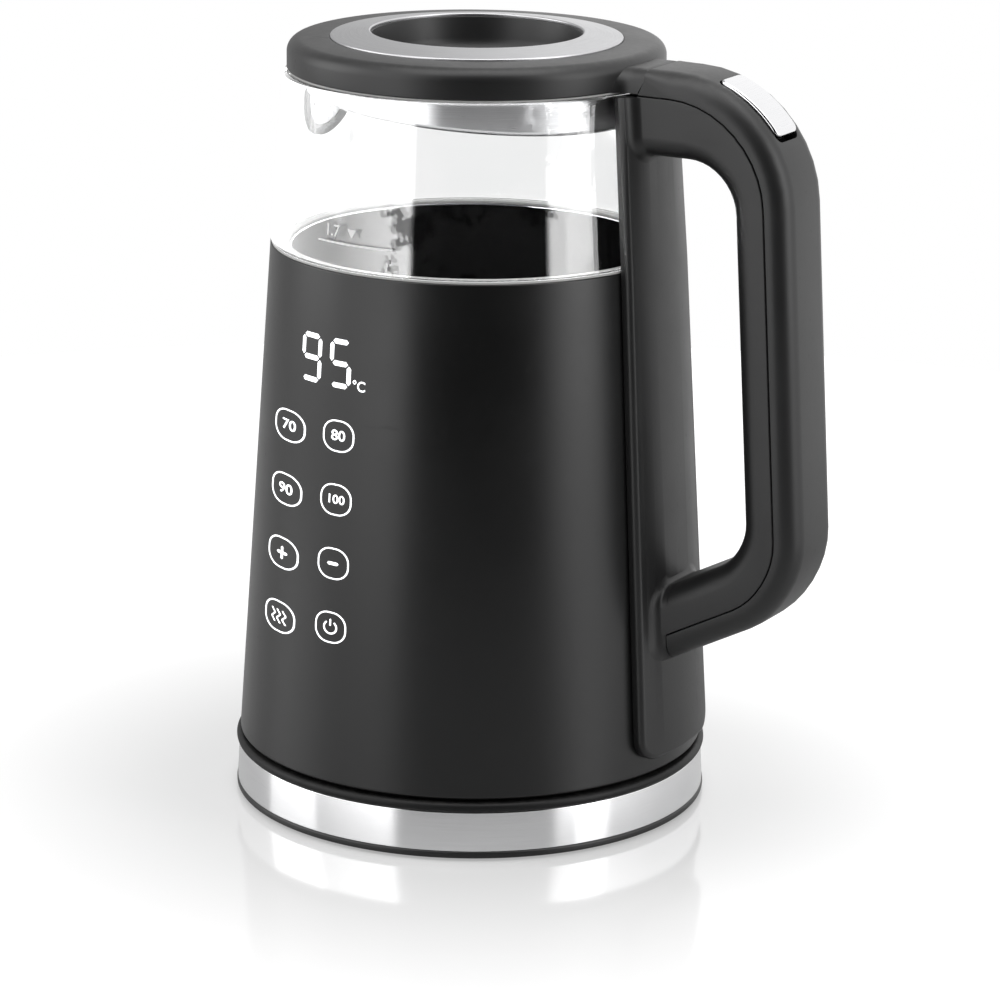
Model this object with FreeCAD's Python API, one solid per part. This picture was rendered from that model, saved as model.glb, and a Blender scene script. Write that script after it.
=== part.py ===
import FreeCAD, Part
import math
import os
from FreeCAD import Vector

# Cordless jug kettle on a round power base.
# Millimetres. Z is up, the table is at zero and the axis of the jug is the Z axis.
# The handle points along +X, the pouring lip along -X.

# Power base
base_radius = 75.0
foot_height = 0.8
foot_radius = 6.0
foot_depth = 1.2
foot_margin = 19.0
foot_count = 4
base_rim_height = 2.3
band_height = 12.35
band_thickness = 0.8
band_taper = 0.9
band_rim_step = 0.25
base_flange_height = 3.05
base_wall = 2.2
base_plate = 2.4
seat_depth = 1.2
seat_margin = 8.5
base_screw_margin = 31.0
gland_radius = 4.0
gland_flange_radius = 5.6
gland_bore_radius = 3.2
gland_length = 12.0
gland_flange_thickness = 1.4

# Connector between base and kettle
turret_radius = 17.5
turret_height = 12.5
turret_flange_radius = 24.0
turret_flange_thickness = 2.5
groove_inner_radius = 8.0
groove_outer_radius = 11.6
groove_depth = 14.0
pin_bore_radius = 3.4
pin_bore_depth = 17.0
sleeve_thickness = 0.55
shutter_height = 2.4
contact_ring_radius = 10.0
contact_ring_thickness = 0.8
contact_pin_radius = 1.9
contact_pin_reach = 13.0
contact_tail_gap = 1.0
socket_wall = 4.1
socket_roof = 3.4
socket_headroom = 2.0
socket_flange_width = 3.5
socket_post_radius = 1.6

# Jug
kettle_gap = 0.8
jacket_height = 158.5
jacket_step = 1.2
jacket_taper = 10.2
jacket_wall = 2.5
jacket_edge = 1.2
pot_gap = 6.0
pot_wall = 0.8
pot_corner = 7.0
glass_seal_thickness = 0.8
glass_seal_width = 5.7
glass_height = 52.8
glass_taper = 4.1
glass_wall_thickness = 3.0
glass_step = 0.2
lip_overhang = 7.2
lip_radius = 12.0
lip_drop = 25.4
lip_root_radius = 3.5

# Bottom of the jug
cover_plate = 2.4
cover_recess = 0.5
cover_wall_height = 8.0
support_ring_margin = 8.8
support_ring_width = 4.0
cover_screw_margin = 9.0
cover_screw_count = 3
cover_screw_start = 30.0
boss_radius = 4.0
boss_height = 14.0

# Heater and electronics
plate_margin = 13.0
heater_room = 4.0
plate_thickness = 4.0
element_gap = 2.0
element_radius = 3.3
element_sink = 0.3
element_turn = 310.0
terminal_radius = 1.8
terminal_length = 4.0
cutout_radius = 6.0
cutout_height = 6.0
cutout_gap = 1.2
probe_radius = 3.0
probe_height = 7.0
board_length = 30.0
board_side_gap = 2.0
board_thickness = 1.6
board_margin = 5.0
board_post_radius = 2.5
board_post_height = 2.4
relay_length = 18.0
relay_width = 14.0
relay_height = 6.0
panel_azimuth = -108.0
touch_board_height = 80.0
touch_board_angle = 38.0
touch_board_thickness = 1.2
display_margin = 16.8
display_height = 20.5
display_angle = 34.0
display_gap = 2.5
display_thickness = 2.2

# Spout filter
filter_width = 30.0
filter_height = 25.0
filter_frame_width = 3.2
filter_thickness = 1.4
filter_top_gap = 0.8
mesh_thickness = 0.5
mesh_pitch = 3.4
mesh_hole = 2.2

# Handle
spine_height = 4.0
spine_half_angle = 16.5
spine_bottom = 25.0
spine_corner = 7.0
spine_edge = 2.0
handle_top_over_lid = 7.0
finger_gap = 28.5
grip_depth = 19.0
grip_width = 28.0
grip_edge = 6.5
grip_wall = 2.5
upper_arm_height = 26.0
lower_arm_angle = 27.5
lower_arm_depth = 21.3
lower_arm_drop = 119.5
top_bend = 40.0
bottom_bend = 32.0
hole_bend = 16.0
seam_depth = 7.5
seam_gap = 0.25

# Lid
lid_step = 0.9
lid_wall = 2.2
lid_side_height = 9.2
lid_shoulder = 4.2
lid_crown = 0.5
ring_margin = 13.3
ring_width = 12.4
ring_rise = 1.5
ring_thickness = 1.0
ring_inset = 0.5
dish_depth = 11.5
dish_draft = 2.0
dish_corner = 6.0
liner_margin = 5.0
liner_wall = 0.8
liner_front_drop = 3.6
liner_back_drop = 12.5
seal_thickness = 0.55
seal_margin = 0.4

# Lid hinge
hinge_overhang = 3.4
hinge_drop = 2.5
hinge_lug_wall = 0.6
hinge_lug_half_width = 8.7
hinge_pin_radius = 0.9
hinge_pin_grip = 2.3
parting_angle = 25.6
lid_opening = 80.0
tab_flare = 8.0
tab_root = 4.9

# Release button and latch
button_angle = 53.0
button_length = 25.0
button_side_margin = 7.25
button_proud = 0.9
button_edge = 0.8
button_travel = 2.0
latch_travel = 1.2
button_cap = 4.0
button_flange = 1.5
button_flange_margin = 1.8
stem_half_width = 1.5
guide_floor = 1.0
guide_length = 13.6
thumb_room = 2.2
slide_half_width = 4.0
slide_bar = 2.0
slide_tongue = 2.0
slide_web = 3.5
guide_margin = 2.0
spring_radius = 1.6
spring_wire = 0.35
spring_turns = 3

# Fasteners
screw_radius = 1.5
screw_head_radius = 3.1
screw_head_height = 1.1
screw_length = 10.0
handle_screw_drop = 12.8
handle_screw_rise = 43.0

# Clearances
running_gap = 0.05
play = 0.3
seat_gap = 0.15
thread_gap = 0.02
hair = 1e-6
far = 200.0

# Heights and radii that follow
band_top_radius = base_radius - band_taper
seat_radius = base_radius - seat_margin
foot_circle = base_radius - foot_margin
base_screw_circle = base_radius - base_screw_margin
jacket_bottom_radius = base_radius - jacket_step
jacket_top_radius = jacket_bottom_radius - jacket_taper
band_bottom = foot_height + base_rim_height
band_top = band_bottom + band_height
base_top = band_top + base_flange_height
seat_top = base_top - seat_depth
seat_bottom = seat_top - base_plate
turret_top = base_top + turret_height
groove_floor = turret_top - groove_depth
jacket_bottom = base_top + kettle_gap
jacket_top = jacket_bottom + jacket_height
glass_bottom = jacket_top + glass_seal_thickness
glass_top = glass_bottom + glass_height
glass_bottom_radius = jacket_top_radius - glass_step
glass_top_radius = glass_bottom_radius - glass_taper
lip_reach = glass_top_radius + lip_overhang
lid_radius = glass_top_radius - lid_step
ring_outer_radius = lid_radius - ring_margin
ring_inner_radius = ring_outer_radius - ring_width
liner_radius = lid_radius - liner_margin
seal_reach = lid_radius - seal_margin
hinge_reach = glass_top_radius + hinge_overhang
support_ring_radius = jacket_bottom_radius - support_ring_margin
cover_screw_circle = support_ring_radius - cover_screw_margin
board_outer_edge = support_ring_radius - board_margin
boss_side = cover_screw_circle * math.sin(math.radians(cover_screw_start)) - boss_radius
board_width = 2 * (boss_side - board_side_gap)
display_high = jacket_top - display_margin
display_low = display_high - display_height
touch_board_high = display_low - display_gap
touch_board_low = touch_board_high - touch_board_height
handle_screw_high = jacket_top - handle_screw_drop
handle_screw_low = spine_bottom + handle_screw_rise
lid_bottom = glass_top + running_gap + seal_thickness
lid_top_height = lid_bottom + lid_side_height
handle_top = lid_bottom + handle_top_over_lid
cover_bottom = jacket_bottom + cover_recess
cover_top = cover_bottom + cover_plate
socket_radius = turret_radius + 3 * play
socket_roof_bottom = turret_top + socket_headroom
socket_roof_top = socket_roof_bottom + socket_roof
plate_bottom = socket_roof_top + heater_room
plate_top = plate_bottom + plate_thickness
pot_floor_height = plate_top + pot_wall
wall_slope = (jacket_bottom_radius - jacket_top_radius) / jacket_height
glass_slope = (glass_bottom_radius - glass_top_radius) / glass_height
lean = math.atan(wall_slope)
hinge_height = handle_top - hinge_drop
hinge_pin_half_length = hinge_lug_half_width + hinge_pin_grip
hinge_lug_radius = hinge_pin_radius + hinge_lug_wall
up = Vector(0, 0, 1)
across = Vector(0, 1, 0)
along_x = Vector(1, 0, 0)
button_width = grip_width - 2 * button_side_margin
handle_screw_grip = jacket_wall + spine_height / 2
cutout_circle = socket_radius + socket_wall + cutout_gap + cutout_radius
element_ring_radius = cutout_circle + cutout_radius + element_gap + element_radius
plate_radius = element_ring_radius + plate_margin


def jacket_radius(height):
    """Outer radius of the jacket's cone at a height."""
    return jacket_bottom_radius - wall_slope * (height - jacket_bottom)


def glass_radius(height):
    """Outer radius of the glass cone at a height."""
    return glass_bottom_radius - glass_slope * (height - glass_bottom)


def corner_edges(corners, place):
    """Edges of a closed outline. Corners are (u, v) or (u, v, radius); place puts (u, v) in space."""
    points = [Vector(corner[0], corner[1], 0) for corner in corners]
    radii = [corner[2] if len(corner) > 2 else 0.0 for corner in corners]
    pieces = []
    for index, point in enumerate(points):
        back = (points[index - 1] - point).normalize()
        ahead = (points[(index + 1) % len(points)] - point).normalize()
        if radii[index] == 0.0:
            pieces.append((point, None, point))
            continue
        half = back.getAngle(ahead) / 2
        reach = radii[index] / math.tan(half)
        inward = (back + ahead).normalize()
        middle = point + inward * (radii[index] / math.sin(half) - radii[index])
        pieces.append((point + back * reach, middle, point + ahead * reach))
    edges = []
    for index, (start, middle, end) in enumerate(pieces):
        if middle is not None:
            edges.append(Part.Arc(place(start), place(middle), place(end)).toShape())
        following = pieces[(index + 1) % len(pieces)][0]
        if (following - end).Length > hair:
            edges.append(Part.makeLine(place(end), place(following)))
    return edges


def outline(corners, place):
    """Plane face inside a closed outline with rounded corners."""
    return Part.Face(Part.Wire(Part.sortEdges(corner_edges(corners, place))[0]))


def on_section(point):
    """Puts (radius, height) on the XZ plane."""
    return Vector(point.x, 0, point.y)


def turned(corners, angle=360.0, start=0.0):
    """Solid turned about Z from (radius, height) corners."""
    solid = outline(corners, on_section).revolve(Vector(), up, angle)
    solid.rotate(Vector(), up, start)
    return solid


def prism(corners, half_width):
    """Solid with an outline on the XZ plane and a half width along Y."""
    face = outline(corners, on_section)
    face.translate(across * -half_width)
    return face.extrude(across * (2 * half_width))


def post(x, y, low, high, radius):
    """Upright cylinder."""
    return Part.makeCylinder(radius, high - low, Vector(x, y, low))


def tube(inner, outer, low, high):
    """Upright ring."""
    return turned([(inner, low), (outer, low), (outer, high), (inner, high)])


def rod(x, z, radius, half_width):
    """Cylinder along Y, centred on the XZ plane."""
    return Part.makeCylinder(radius, 2 * half_width, Vector(x, -half_width, z), across)


def block(x_low, x_high, half_width, z_low, z_high):
    """Box centred on the XZ plane."""
    corner = Vector(x_low, -half_width, z_low)
    return Part.makeBox(x_high - x_low, 2 * half_width, z_high - z_low, corner)


def around(count, circle, start):
    """Places spread evenly on a circle."""
    angles = [math.radians(start + 360.0 * index / count) for index in range(count)]
    return [(circle * math.cos(angle), circle * math.sin(angle)) for angle in angles]


def screw(x, y, seat):
    """Screw driven up from below, with the top of its head on the seat."""
    head = post(x, y, seat - screw_head_height, seat, screw_head_radius)
    return head.fuse(post(x, y, seat, seat + screw_length, screw_radius)).removeSplitter()


def screw_room(x, y, seat):
    """Counterbore and hole for an upward screw."""
    bore = post(x, y, seat, seat + screw_length + play, screw_radius + thread_gap)
    return bore.fuse(post(x, y, seat - 2 * screw_head_height, seat, screw_head_radius + play))


def merged(first, others):
    """One solid from pieces that meet."""
    return first.fuse(others).removeSplitter()


# Power base
foot_places = around(foot_count, foot_circle, 0.0)
base_screw_places = around(foot_count, base_screw_circle, 45.0)
base_screw_seat = foot_height + screw_head_height
skirt_radius = band_top_radius - band_thickness - play
gland_height = (band_bottom + band_top) / 2


def gland_room():
    """Hole for the cord gland through the band and the skirt, at the +Y side."""
    length = 2 * gland_length
    start = Vector(0, base_radius - length, gland_height)
    return Part.makeCylinder(gland_radius + running_gap, 2 * length, start, across)


def base_bottom_cover():
    """Plate with the black foot rim, a locating rib, and recesses for feet and screws."""
    rib_outer = skirt_radius - base_wall - play
    plate = turned([(0, foot_height), (base_radius, foot_height, base_rim_height / 3),
                    (base_radius, band_bottom, base_rim_height / 3), (0, band_bottom)])
    rib = tube(rib_outer - base_wall, rib_outer, band_bottom, band_bottom + 2 * base_wall)
    solid = merged(plate, [rib])
    for x, y in foot_places:
        solid = solid.cut(post(x, y, 0, foot_height + foot_depth, foot_radius + running_gap))
    for x, y in base_screw_places:
        solid = solid.cut(screw_room(x, y, base_screw_seat))
    return solid.cut(gland_room())


def base_rubber_feet():
    """Feet that the whole thing stands on."""
    top = foot_height + foot_depth
    return Part.makeCompound([post(x, y, 0, top, foot_radius) for x, y in foot_places])


def base_screws():
    """Screws that hold the two base covers together."""
    return Part.makeCompound([screw(x, y, base_screw_seat) for x, y in base_screw_places])


def base_steel_band():
    """Polished band, slightly tapered, between the foot rim and the top rim."""
    low = base_radius - band_rim_step
    high = band_top_radius
    ring = turned([(low - band_thickness, band_bottom), (low, band_bottom),
                   (high, band_top), (high - band_thickness, band_top)])
    return ring.cut(gland_room())


def base_top_cover():
    """Upper shell: rounded rim, sunk seat for the kettle, skirt and screw posts."""
    bulge = base_flange_height / 2 - running_gap
    inside = skirt_radius - base_wall
    solid = turned([(turret_radius + play, seat_bottom), (inside, seat_bottom), (inside, band_bottom),
                    (skirt_radius, band_bottom), (skirt_radius, band_top), (base_radius, band_top, bulge),
                    (base_radius, base_top, bulge), (seat_radius, base_top), (seat_radius, seat_top),
                    (turret_radius + play, seat_top)])
    pillars = [post(x, y, band_bottom, seat_bottom, boss_radius) for x, y in base_screw_places]
    solid = merged(solid, pillars)
    for x, y in base_screw_places:
        solid = solid.cut(screw_room(x, y, base_screw_seat))
    return solid.cut(gland_room())


def cord_gland():
    """Bush in the wall of the base that the supply cord comes through."""
    face = base_radius - band_rim_step
    start = Vector(0, face - gland_length, gland_height)
    bush = Part.makeCylinder(gland_radius, gland_length, start, across)
    flange_start = Vector(0, face, gland_height)
    flange = Part.makeCylinder(gland_flange_radius, gland_flange_thickness, flange_start, across)
    bore_length = gland_length + gland_flange_thickness
    return merged(bush, [flange]).cut(Part.makeCylinder(gland_bore_radius, bore_length, start, across))


def base_connector():
    """Turret with a ring groove and a pin bore, hung from the underside of the seat."""
    flange_bottom = seat_bottom - turret_flange_thickness
    solid = turned([(0, flange_bottom), (turret_flange_radius, flange_bottom),
                    (turret_flange_radius, seat_bottom), (turret_radius, seat_bottom),
                    (turret_radius, turret_top, turret_flange_thickness), (0, turret_top)])
    solid = solid.cut(tube(groove_inner_radius, groove_outer_radius, groove_floor, turret_top + play))
    return solid.cut(post(0, 0, turret_top - pin_bore_depth, turret_top + play, pin_bore_radius))


def contact_sleeves():
    """Brass linings of the turret's groove and bore."""
    ring_outer = groove_outer_radius - running_gap
    ring_top = turret_top - turret_flange_thickness
    ring = tube(ring_outer - sleeve_thickness, ring_outer, groove_floor + running_gap, ring_top)
    pin_outer = pin_bore_radius - running_gap
    pin_low = turret_top - pin_bore_depth + running_gap
    pin = tube(pin_outer - sleeve_thickness, pin_outer, pin_low, turret_top - 2 * turret_flange_thickness)
    return Part.makeCompound([ring, pin])


def connector_shutter():
    """Ring at the foot of the groove that the kettle's contact ring presses on and turns."""
    outer = groove_outer_radius - sleeve_thickness - play
    low = groove_floor + running_gap
    return tube(groove_inner_radius + play, outer, low, low + shutter_height)


# Bottom of the jug
cover_screw_places = around(cover_screw_count, cover_screw_circle, cover_screw_start)
cover_screw_seat = cover_bottom + screw_head_height


def jacket_inside(height):
    """Inner radius of the jacket at a height."""
    return jacket_radius(height) - jacket_wall


def outer_jacket():
    """Tapered matt wall with screw bosses on ribs inside its foot."""
    low_in = jacket_inside(jacket_bottom)
    high_in = jacket_top_radius - jacket_wall
    wall = turned([(low_in, jacket_bottom), (jacket_bottom_radius, jacket_bottom, jacket_edge),
                   (jacket_top_radius, jacket_top), (high_in, jacket_top)])
    boss_top = cover_top + boss_height
    bosses = []
    for index, (x, y) in enumerate(cover_screw_places):
        turn = cover_screw_start + 360.0 * index / cover_screw_count
        rib = block(cover_screw_circle, jacket_inside(boss_top) + jacket_wall / 2, boss_radius / 3,
                    cover_top + cover_wall_height, boss_top)
        rib.rotate(Vector(), up, turn)
        bosses += [post(x, y, cover_top, boss_top, boss_radius), rib]
    solid = merged(wall, bosses)
    for x, y in cover_screw_places:
        solid = solid.cut(screw_room(x, y, cover_screw_seat))
    for tool in handle_screw_rooms():
        solid = solid.cut(tool)
    return solid


def bottom_cover():
    """Floor of the jug with a support ring, a rim inside the jacket and a hole for the socket."""
    hole = socket_radius + socket_wall + play
    rim_top = cover_bottom + cover_wall_height
    solid = turned([(hole, cover_bottom), (jacket_inside(cover_bottom) - seat_gap, cover_bottom),
                    (jacket_inside(rim_top) - seat_gap, rim_top),
                    (jacket_inside(rim_top) - seat_gap - base_wall, rim_top),
                    (jacket_inside(cover_top) - seat_gap - base_wall, cover_top), (hole, cover_top)])
    ring = tube(support_ring_radius - support_ring_width, support_ring_radius,
                seat_top + running_gap, cover_bottom)
    posts = [post(x, y, cover_top, cover_top + board_post_height, board_post_radius)
             for x, y in board_post_places()]
    solid = merged(solid, [ring] + posts)
    for x, y in cover_screw_places:
        solid = solid.cut(screw_room(x, y, cover_screw_seat))
    return solid


def bottom_screws():
    """Screws that hold the bottom cover to the jacket."""
    return Part.makeCompound([screw(x, y, cover_screw_seat) for x, y in cover_screw_places])


def socket_connector():
    """Cup that drops over the turret, with posts up to the heating plate."""
    outer = socket_radius + socket_wall
    flange = outer + socket_flange_width
    flange_top = cover_top + cover_plate
    solid = turned([(0, socket_roof_bottom), (socket_radius, socket_roof_bottom),
                    (socket_radius, cover_bottom), (outer, cover_bottom), (outer, cover_top),
                    (flange, cover_top), (flange, flange_top), (outer, flange_top),
                    (outer, socket_roof_top), (0, socket_roof_top)])
    posts = [post(x, y, socket_roof_top, plate_bottom, socket_post_radius)
             for x, y in around(cover_screw_count, socket_radius, 0.0)]
    solid = merged(solid, posts)
    slot_outer = contact_ring_radius + running_gap
    slot_inner = contact_ring_radius - contact_ring_thickness - running_gap
    slot_top = socket_roof_bottom + socket_roof / 2
    solid = solid.cut(tube(slot_inner, slot_outer, socket_roof_bottom - play, slot_top))
    return solid.cut(post(0, 0, socket_roof_bottom, socket_roof_top, contact_pin_radius + running_gap))


def socket_contacts():
    """Contact ring and earth pin that dip into the turret."""
    inner = contact_ring_radius - contact_ring_thickness
    ring_low = groove_floor + running_gap + shutter_height + play
    ring = tube(inner, contact_ring_radius, ring_low, socket_roof_bottom + socket_roof / 2)
    pin_low = turret_top - contact_pin_reach
    pin = post(0, 0, pin_low, plate_bottom - contact_tail_gap, contact_pin_radius)
    return Part.makeCompound([ring, pin])


# Heater and electronics
def heating_plate():
    """Aluminium disc brazed under the pot."""
    return post(0, 0, plate_bottom, plate_top, plate_radius)


def heating_element():
    """Sheathed element bent to an open ring, flattened where it meets the plate."""
    height = plate_bottom - element_radius + element_sink
    start = Vector(element_ring_radius, 0, height)
    disc = Part.Face(Part.Wire(Part.makeCircle(element_radius, start, across)))
    ring = disc.revolve(Vector(), up, element_turn)
    open_angle = 180.0 - element_turn / 2
    ring.rotate(Vector(), up, 180.0 + open_angle)
    legs = []
    for sign in (-1, 1):
        end_angle = open_angle + math.degrees(element_radius / element_ring_radius)
        angle = math.radians(180.0 + sign * end_angle)
        x = element_ring_radius * math.cos(angle)
        y = element_ring_radius * math.sin(angle)
        legs.append(post(x, y, height - terminal_length - element_radius / 2, height, terminal_radius))
    solid = merged(ring, legs)
    return solid.cut(post(0, 0, plate_bottom, plate_top, plate_radius))


def thermal_cutouts():
    """Two cut-outs pressed against the underside of the plate."""
    places = around(2, cutout_circle, 90.0)
    return Part.makeCompound([post(x, y, plate_bottom - cutout_height, plate_bottom, cutout_radius)
                              for x, y in places])


def temperature_probe():
    """Probe capsule against the underside of the plate."""
    return post(cutout_circle, 0, plate_bottom - probe_height, plate_bottom, probe_radius)


def board_post_places():
    """Corners of the power board, inset by its posts."""
    inset = 1.5 * board_post_radius
    near = -board_outer_edge + inset
    deep = -board_outer_edge + board_length - inset
    side = board_width / 2 - inset
    return [(x, y) for x in (near, deep) for y in (-side, side)]


def power_board():
    """Board with its relay and two capacitors, on posts of the bottom cover."""
    low = cover_top + board_post_height
    top = low + board_thickness
    board = block(-board_outer_edge, -board_outer_edge + board_length, board_width / 2, low, top)
    middle = -board_outer_edge + board_length / 2
    relay_end = middle + relay_length / 2
    relay = block(relay_end - relay_length, relay_end, relay_width / 2, top, top + relay_height)
    side = (board_width + relay_width) / 4
    cans = [post(middle, sign * side, top, top + relay_height, board_post_radius) for sign in (-1, 1)]
    return merged(board, [relay] + cans)


def behind_jacket(low, high, spread, thickness):
    """Curved sheet against the inside of the jacket, centred on the panel."""
    low_out = jacket_inside(low) - seat_gap
    high_out = jacket_inside(high) - seat_gap
    section = [(low_out - thickness, low), (low_out, low), (high_out, high), (high_out - thickness, high)]
    return turned(section, spread, panel_azimuth - spread / 2)


def touch_board():
    """Flexible touch circuit behind the keys."""
    return behind_jacket(touch_board_low, touch_board_high, touch_board_angle, touch_board_thickness)


def display_module():
    """Digit display behind the jacket, over the keys."""
    return behind_jacket(display_low, display_high, display_angle, display_thickness)


# Vessel
def inner_pot():
    """Drawn steel pot with a flat flange level with the jacket's rim."""
    def outside(height):
        return jacket_radius(height) - pot_gap

    bottom = plate_top
    flange_low = jacket_top - pot_wall
    flange_out = jacket_inside(jacket_top) - seat_gap
    mouth = outside(jacket_top) - pot_wall
    floor_side = outside(pot_floor_height) - pot_wall
    return turned([(0, bottom), (outside(bottom), bottom, pot_corner), (outside(flange_low), flange_low),
                   (flange_out, flange_low), (flange_out, jacket_top), (mouth, jacket_top),
                   (floor_side, pot_floor_height, pot_corner - pot_wall), (0, pot_floor_height)])


def glass_seal():
    """Flat silicone ring between the rims below and the glass above."""
    outer = glass_bottom_radius - seat_gap
    return tube(outer - glass_seal_width, outer, jacket_top, glass_bottom)


def lip_loft(rim_radius, root_radius, drop):
    """Cone-like bulge under the pouring lip, from a small root up to the rim."""
    rim_centre = lip_radius - lip_reach
    root_height = glass_top - drop
    root_centre = glass_wall_thickness + play - glass_radius(root_height) + lip_root_radius / 3
    rim = Part.Wire(Part.makeCircle(rim_radius, Vector(rim_centre, 0, glass_top)))
    root = Part.Wire(Part.makeCircle(root_radius, Vector(root_centre, 0, root_height)))
    return Part.makeLoft([root, rim], True, True)


def glass_wall():
    """Tapered glass with a pouring lip pulled out of its rim."""
    outer = turned([(0, glass_bottom), (glass_bottom_radius, glass_bottom), (glass_top_radius, glass_top),
                    (0, glass_top)])
    low_in = glass_bottom_radius - glass_wall_thickness
    high_in = glass_top_radius - glass_wall_thickness
    inner = turned([(0, glass_bottom), (low_in, glass_bottom), (high_in, glass_top), (0, glass_top)])
    wide = lip_loft(lip_radius, lip_root_radius, lip_drop)
    hollow_root = lip_root_radius / 3
    hollow = lip_loft(lip_radius - glass_wall_thickness, hollow_root, lip_drop - glass_wall_thickness)
    return outer.fuse(wide).cut(inner.fuse(hollow)).removeSplitter()


# Spout filter
def filter_top():
    """Height of the filter's upper edge, just under the lid's seal."""
    return glass_top - filter_top_gap


def filter_shell(thickness, setback):
    """Curved sheet beside the inside of the glass, at the lip."""
    low = filter_top() - filter_height
    high = filter_top()
    spread = 2 * math.degrees(math.asin(filter_width / glass_top_radius))
    low_out = glass_radius(low) - glass_wall_thickness - play - setback
    high_out = glass_radius(high) - glass_wall_thickness - play - setback
    section = [(low_out - thickness, low), (low_out, low), (high_out, high), (high_out - thickness, high)]
    return turned(section, spread, 180.0 - spread / 2)


def filter_outline(inset):
    """U-shaped bar through the filter, along X."""
    side = filter_width / 2 - inset
    top = filter_top() - inset
    low = filter_top() - filter_height + inset
    bend = side - play
    face = outline([(-side, top), (-side, low, bend), (side, low, bend), (side, top)],
                   lambda point: Vector(-far, point.x, point.y))
    return face.extrude(Vector(far, 0, 0))


def spout_filter_frame():
    """U-shaped frame of the filter."""
    shell = filter_shell(filter_thickness, 0.0)
    return shell.common(filter_outline(0.0)).cut(filter_outline(filter_frame_width))


def spout_filter_mesh():
    """Thin sheet with square holes inside the frame."""
    setback = (filter_thickness - mesh_thickness) / 2
    sheet = filter_shell(mesh_thickness, setback).common(filter_outline(filter_frame_width + running_gap))
    half = filter_width / 2 - filter_frame_width
    low = filter_top() - filter_height + filter_frame_width
    high = filter_top() - filter_frame_width
    columns = int((half - mesh_hole) / mesh_pitch)
    rows = int((high - low - mesh_hole) / mesh_pitch)
    holes = []
    for column in range(-columns, columns + 1):
        for row in range(1, rows + 1):
            y = column * mesh_pitch
            z = low + row * mesh_pitch
            if z - low < half - math.sqrt(max(half ** 2 - y ** 2, 0.0)) + mesh_hole:
                continue
            corner = Vector(-far, y - mesh_hole / 2, z - mesh_hole / 2)
            holes.append(Part.makeBox(far, mesh_hole, mesh_hole, corner))
    return sheet.cut(Part.makeCompound(holes))


# Handle
def grip_line(height, offset):
    """X of a line beside the jug that leans with the jacket's wall."""
    return jacket_radius(height) + spine_height + offset


def lower_line(x, offset):
    """Height of the lower arm's upper face, moved down square to it by an offset."""
    start_height = handle_top - upper_arm_height - lower_arm_drop
    rise = math.tan(math.radians(lower_arm_angle))
    start = grip_line(start_height, finger_gap)
    return start_height + (x - start) * rise - offset / math.cos(math.radians(lower_arm_angle))


def meet_grip(offset, lower_offset):
    """Where a grip line meets a line of the lower arm."""
    rise = math.tan(math.radians(lower_arm_angle))
    base_height = lower_line(0.0, lower_offset)
    x = (grip_line(0.0, offset) - wall_slope * base_height) / (1 + wall_slope * rise)
    return x, base_height + rise * x


def outer_corners(inset):
    """Corners of the handle's outer outline, moved inward by an inset."""
    root = jacket_top_radius / 2
    top = handle_top - inset
    across_grip = finger_gap + grip_depth - inset / math.cos(lean)
    low_x, low_z = meet_grip(across_grip, lower_arm_depth - inset)
    return [(root, top), (grip_line(top, across_grip), top, top_bend - inset),
            (low_x, low_z, bottom_bend - inset), (root, lower_line(root, lower_arm_depth - inset))]


def inner_corners(inset):
    """Corners of the finger hole's outline, moved into the handle by an inset."""
    root = jacket_top_radius / 2
    under = handle_top - upper_arm_height + inset
    beside = finger_gap + inset / math.cos(lean)
    low_x, low_z = meet_grip(beside, inset)
    return [(root, lower_line(root, inset)), (low_x, low_z, hole_bend + inset),
            (grip_line(under, beside), under, hole_bend + inset), (root, under)]


def handle_loop(inset):
    """Whole handle as one rounded loop, smaller on every side by an inset."""
    half = grip_width / 2 - inset
    solid = prism(outer_corners(inset) + inner_corners(inset), half)
    root = jacket_top_radius / 2
    rims = []
    for edge in solid.Edges:
        box = edge.BoundBox
        on_side = box.YLength < hair and abs(abs(box.YMin) - half) < hair
        if on_side and box.XMax > root + hair:
            rims.append(edge)
    return solid.makeFillet(grip_edge - inset, rims)


def cover_side(depth):
    """Everything outside the seam between the two halves of the handle."""
    root = jacket_top_radius / 2
    corners = outer_corners(depth)
    corners += [(root, -far), (2 * far, -far), (2 * far, 2 * far), (root, 2 * far)]
    return prism(corners, grip_width)


def wall_cone(offset):
    """Solid jug of jacket and glass, grown by an offset, to trim what leans on it."""
    return turned([(0, 0), (jacket_radius(0) + offset, 0), (jacket_top_radius + offset, jacket_top),
                   (glass_radius(lid_top_height) + offset, lid_top_height), (0, lid_top_height)])


def spine():
    """Strip on the wall, from near the foot up to the lid, with rounded lower corners."""
    top = lid_bottom - 3 * play
    low_out = jacket_radius(spine_bottom) + spine_height
    high_out = glass_radius(top) + spine_height
    ring = turned([(jacket_radius(spine_bottom) + play, spine_bottom), (low_out, spine_bottom),
                   (high_out, top), (glass_radius(top) + play, top),
                   (jacket_top_radius + play, jacket_top)], start=180.0)
    spread = math.sin(math.radians(spine_half_angle))
    low_side = spread * low_out
    high_side = spread * high_out
    face = outline([(-low_side, spine_bottom, spine_corner), (low_side, spine_bottom, spine_corner),
                    (high_side, top), (-high_side, top)], lambda point: Vector(0, point.x, point.y))
    solid = ring.common(face.extrude(Vector(far, 0, 0)))
    front = max(solid.Faces, key=lambda face: face.Area)
    rim = [edge for edge in front.Edges if edge.BoundBox.ZMin < top - play]
    return solid.makeFillet(spine_edge, rim)


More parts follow.
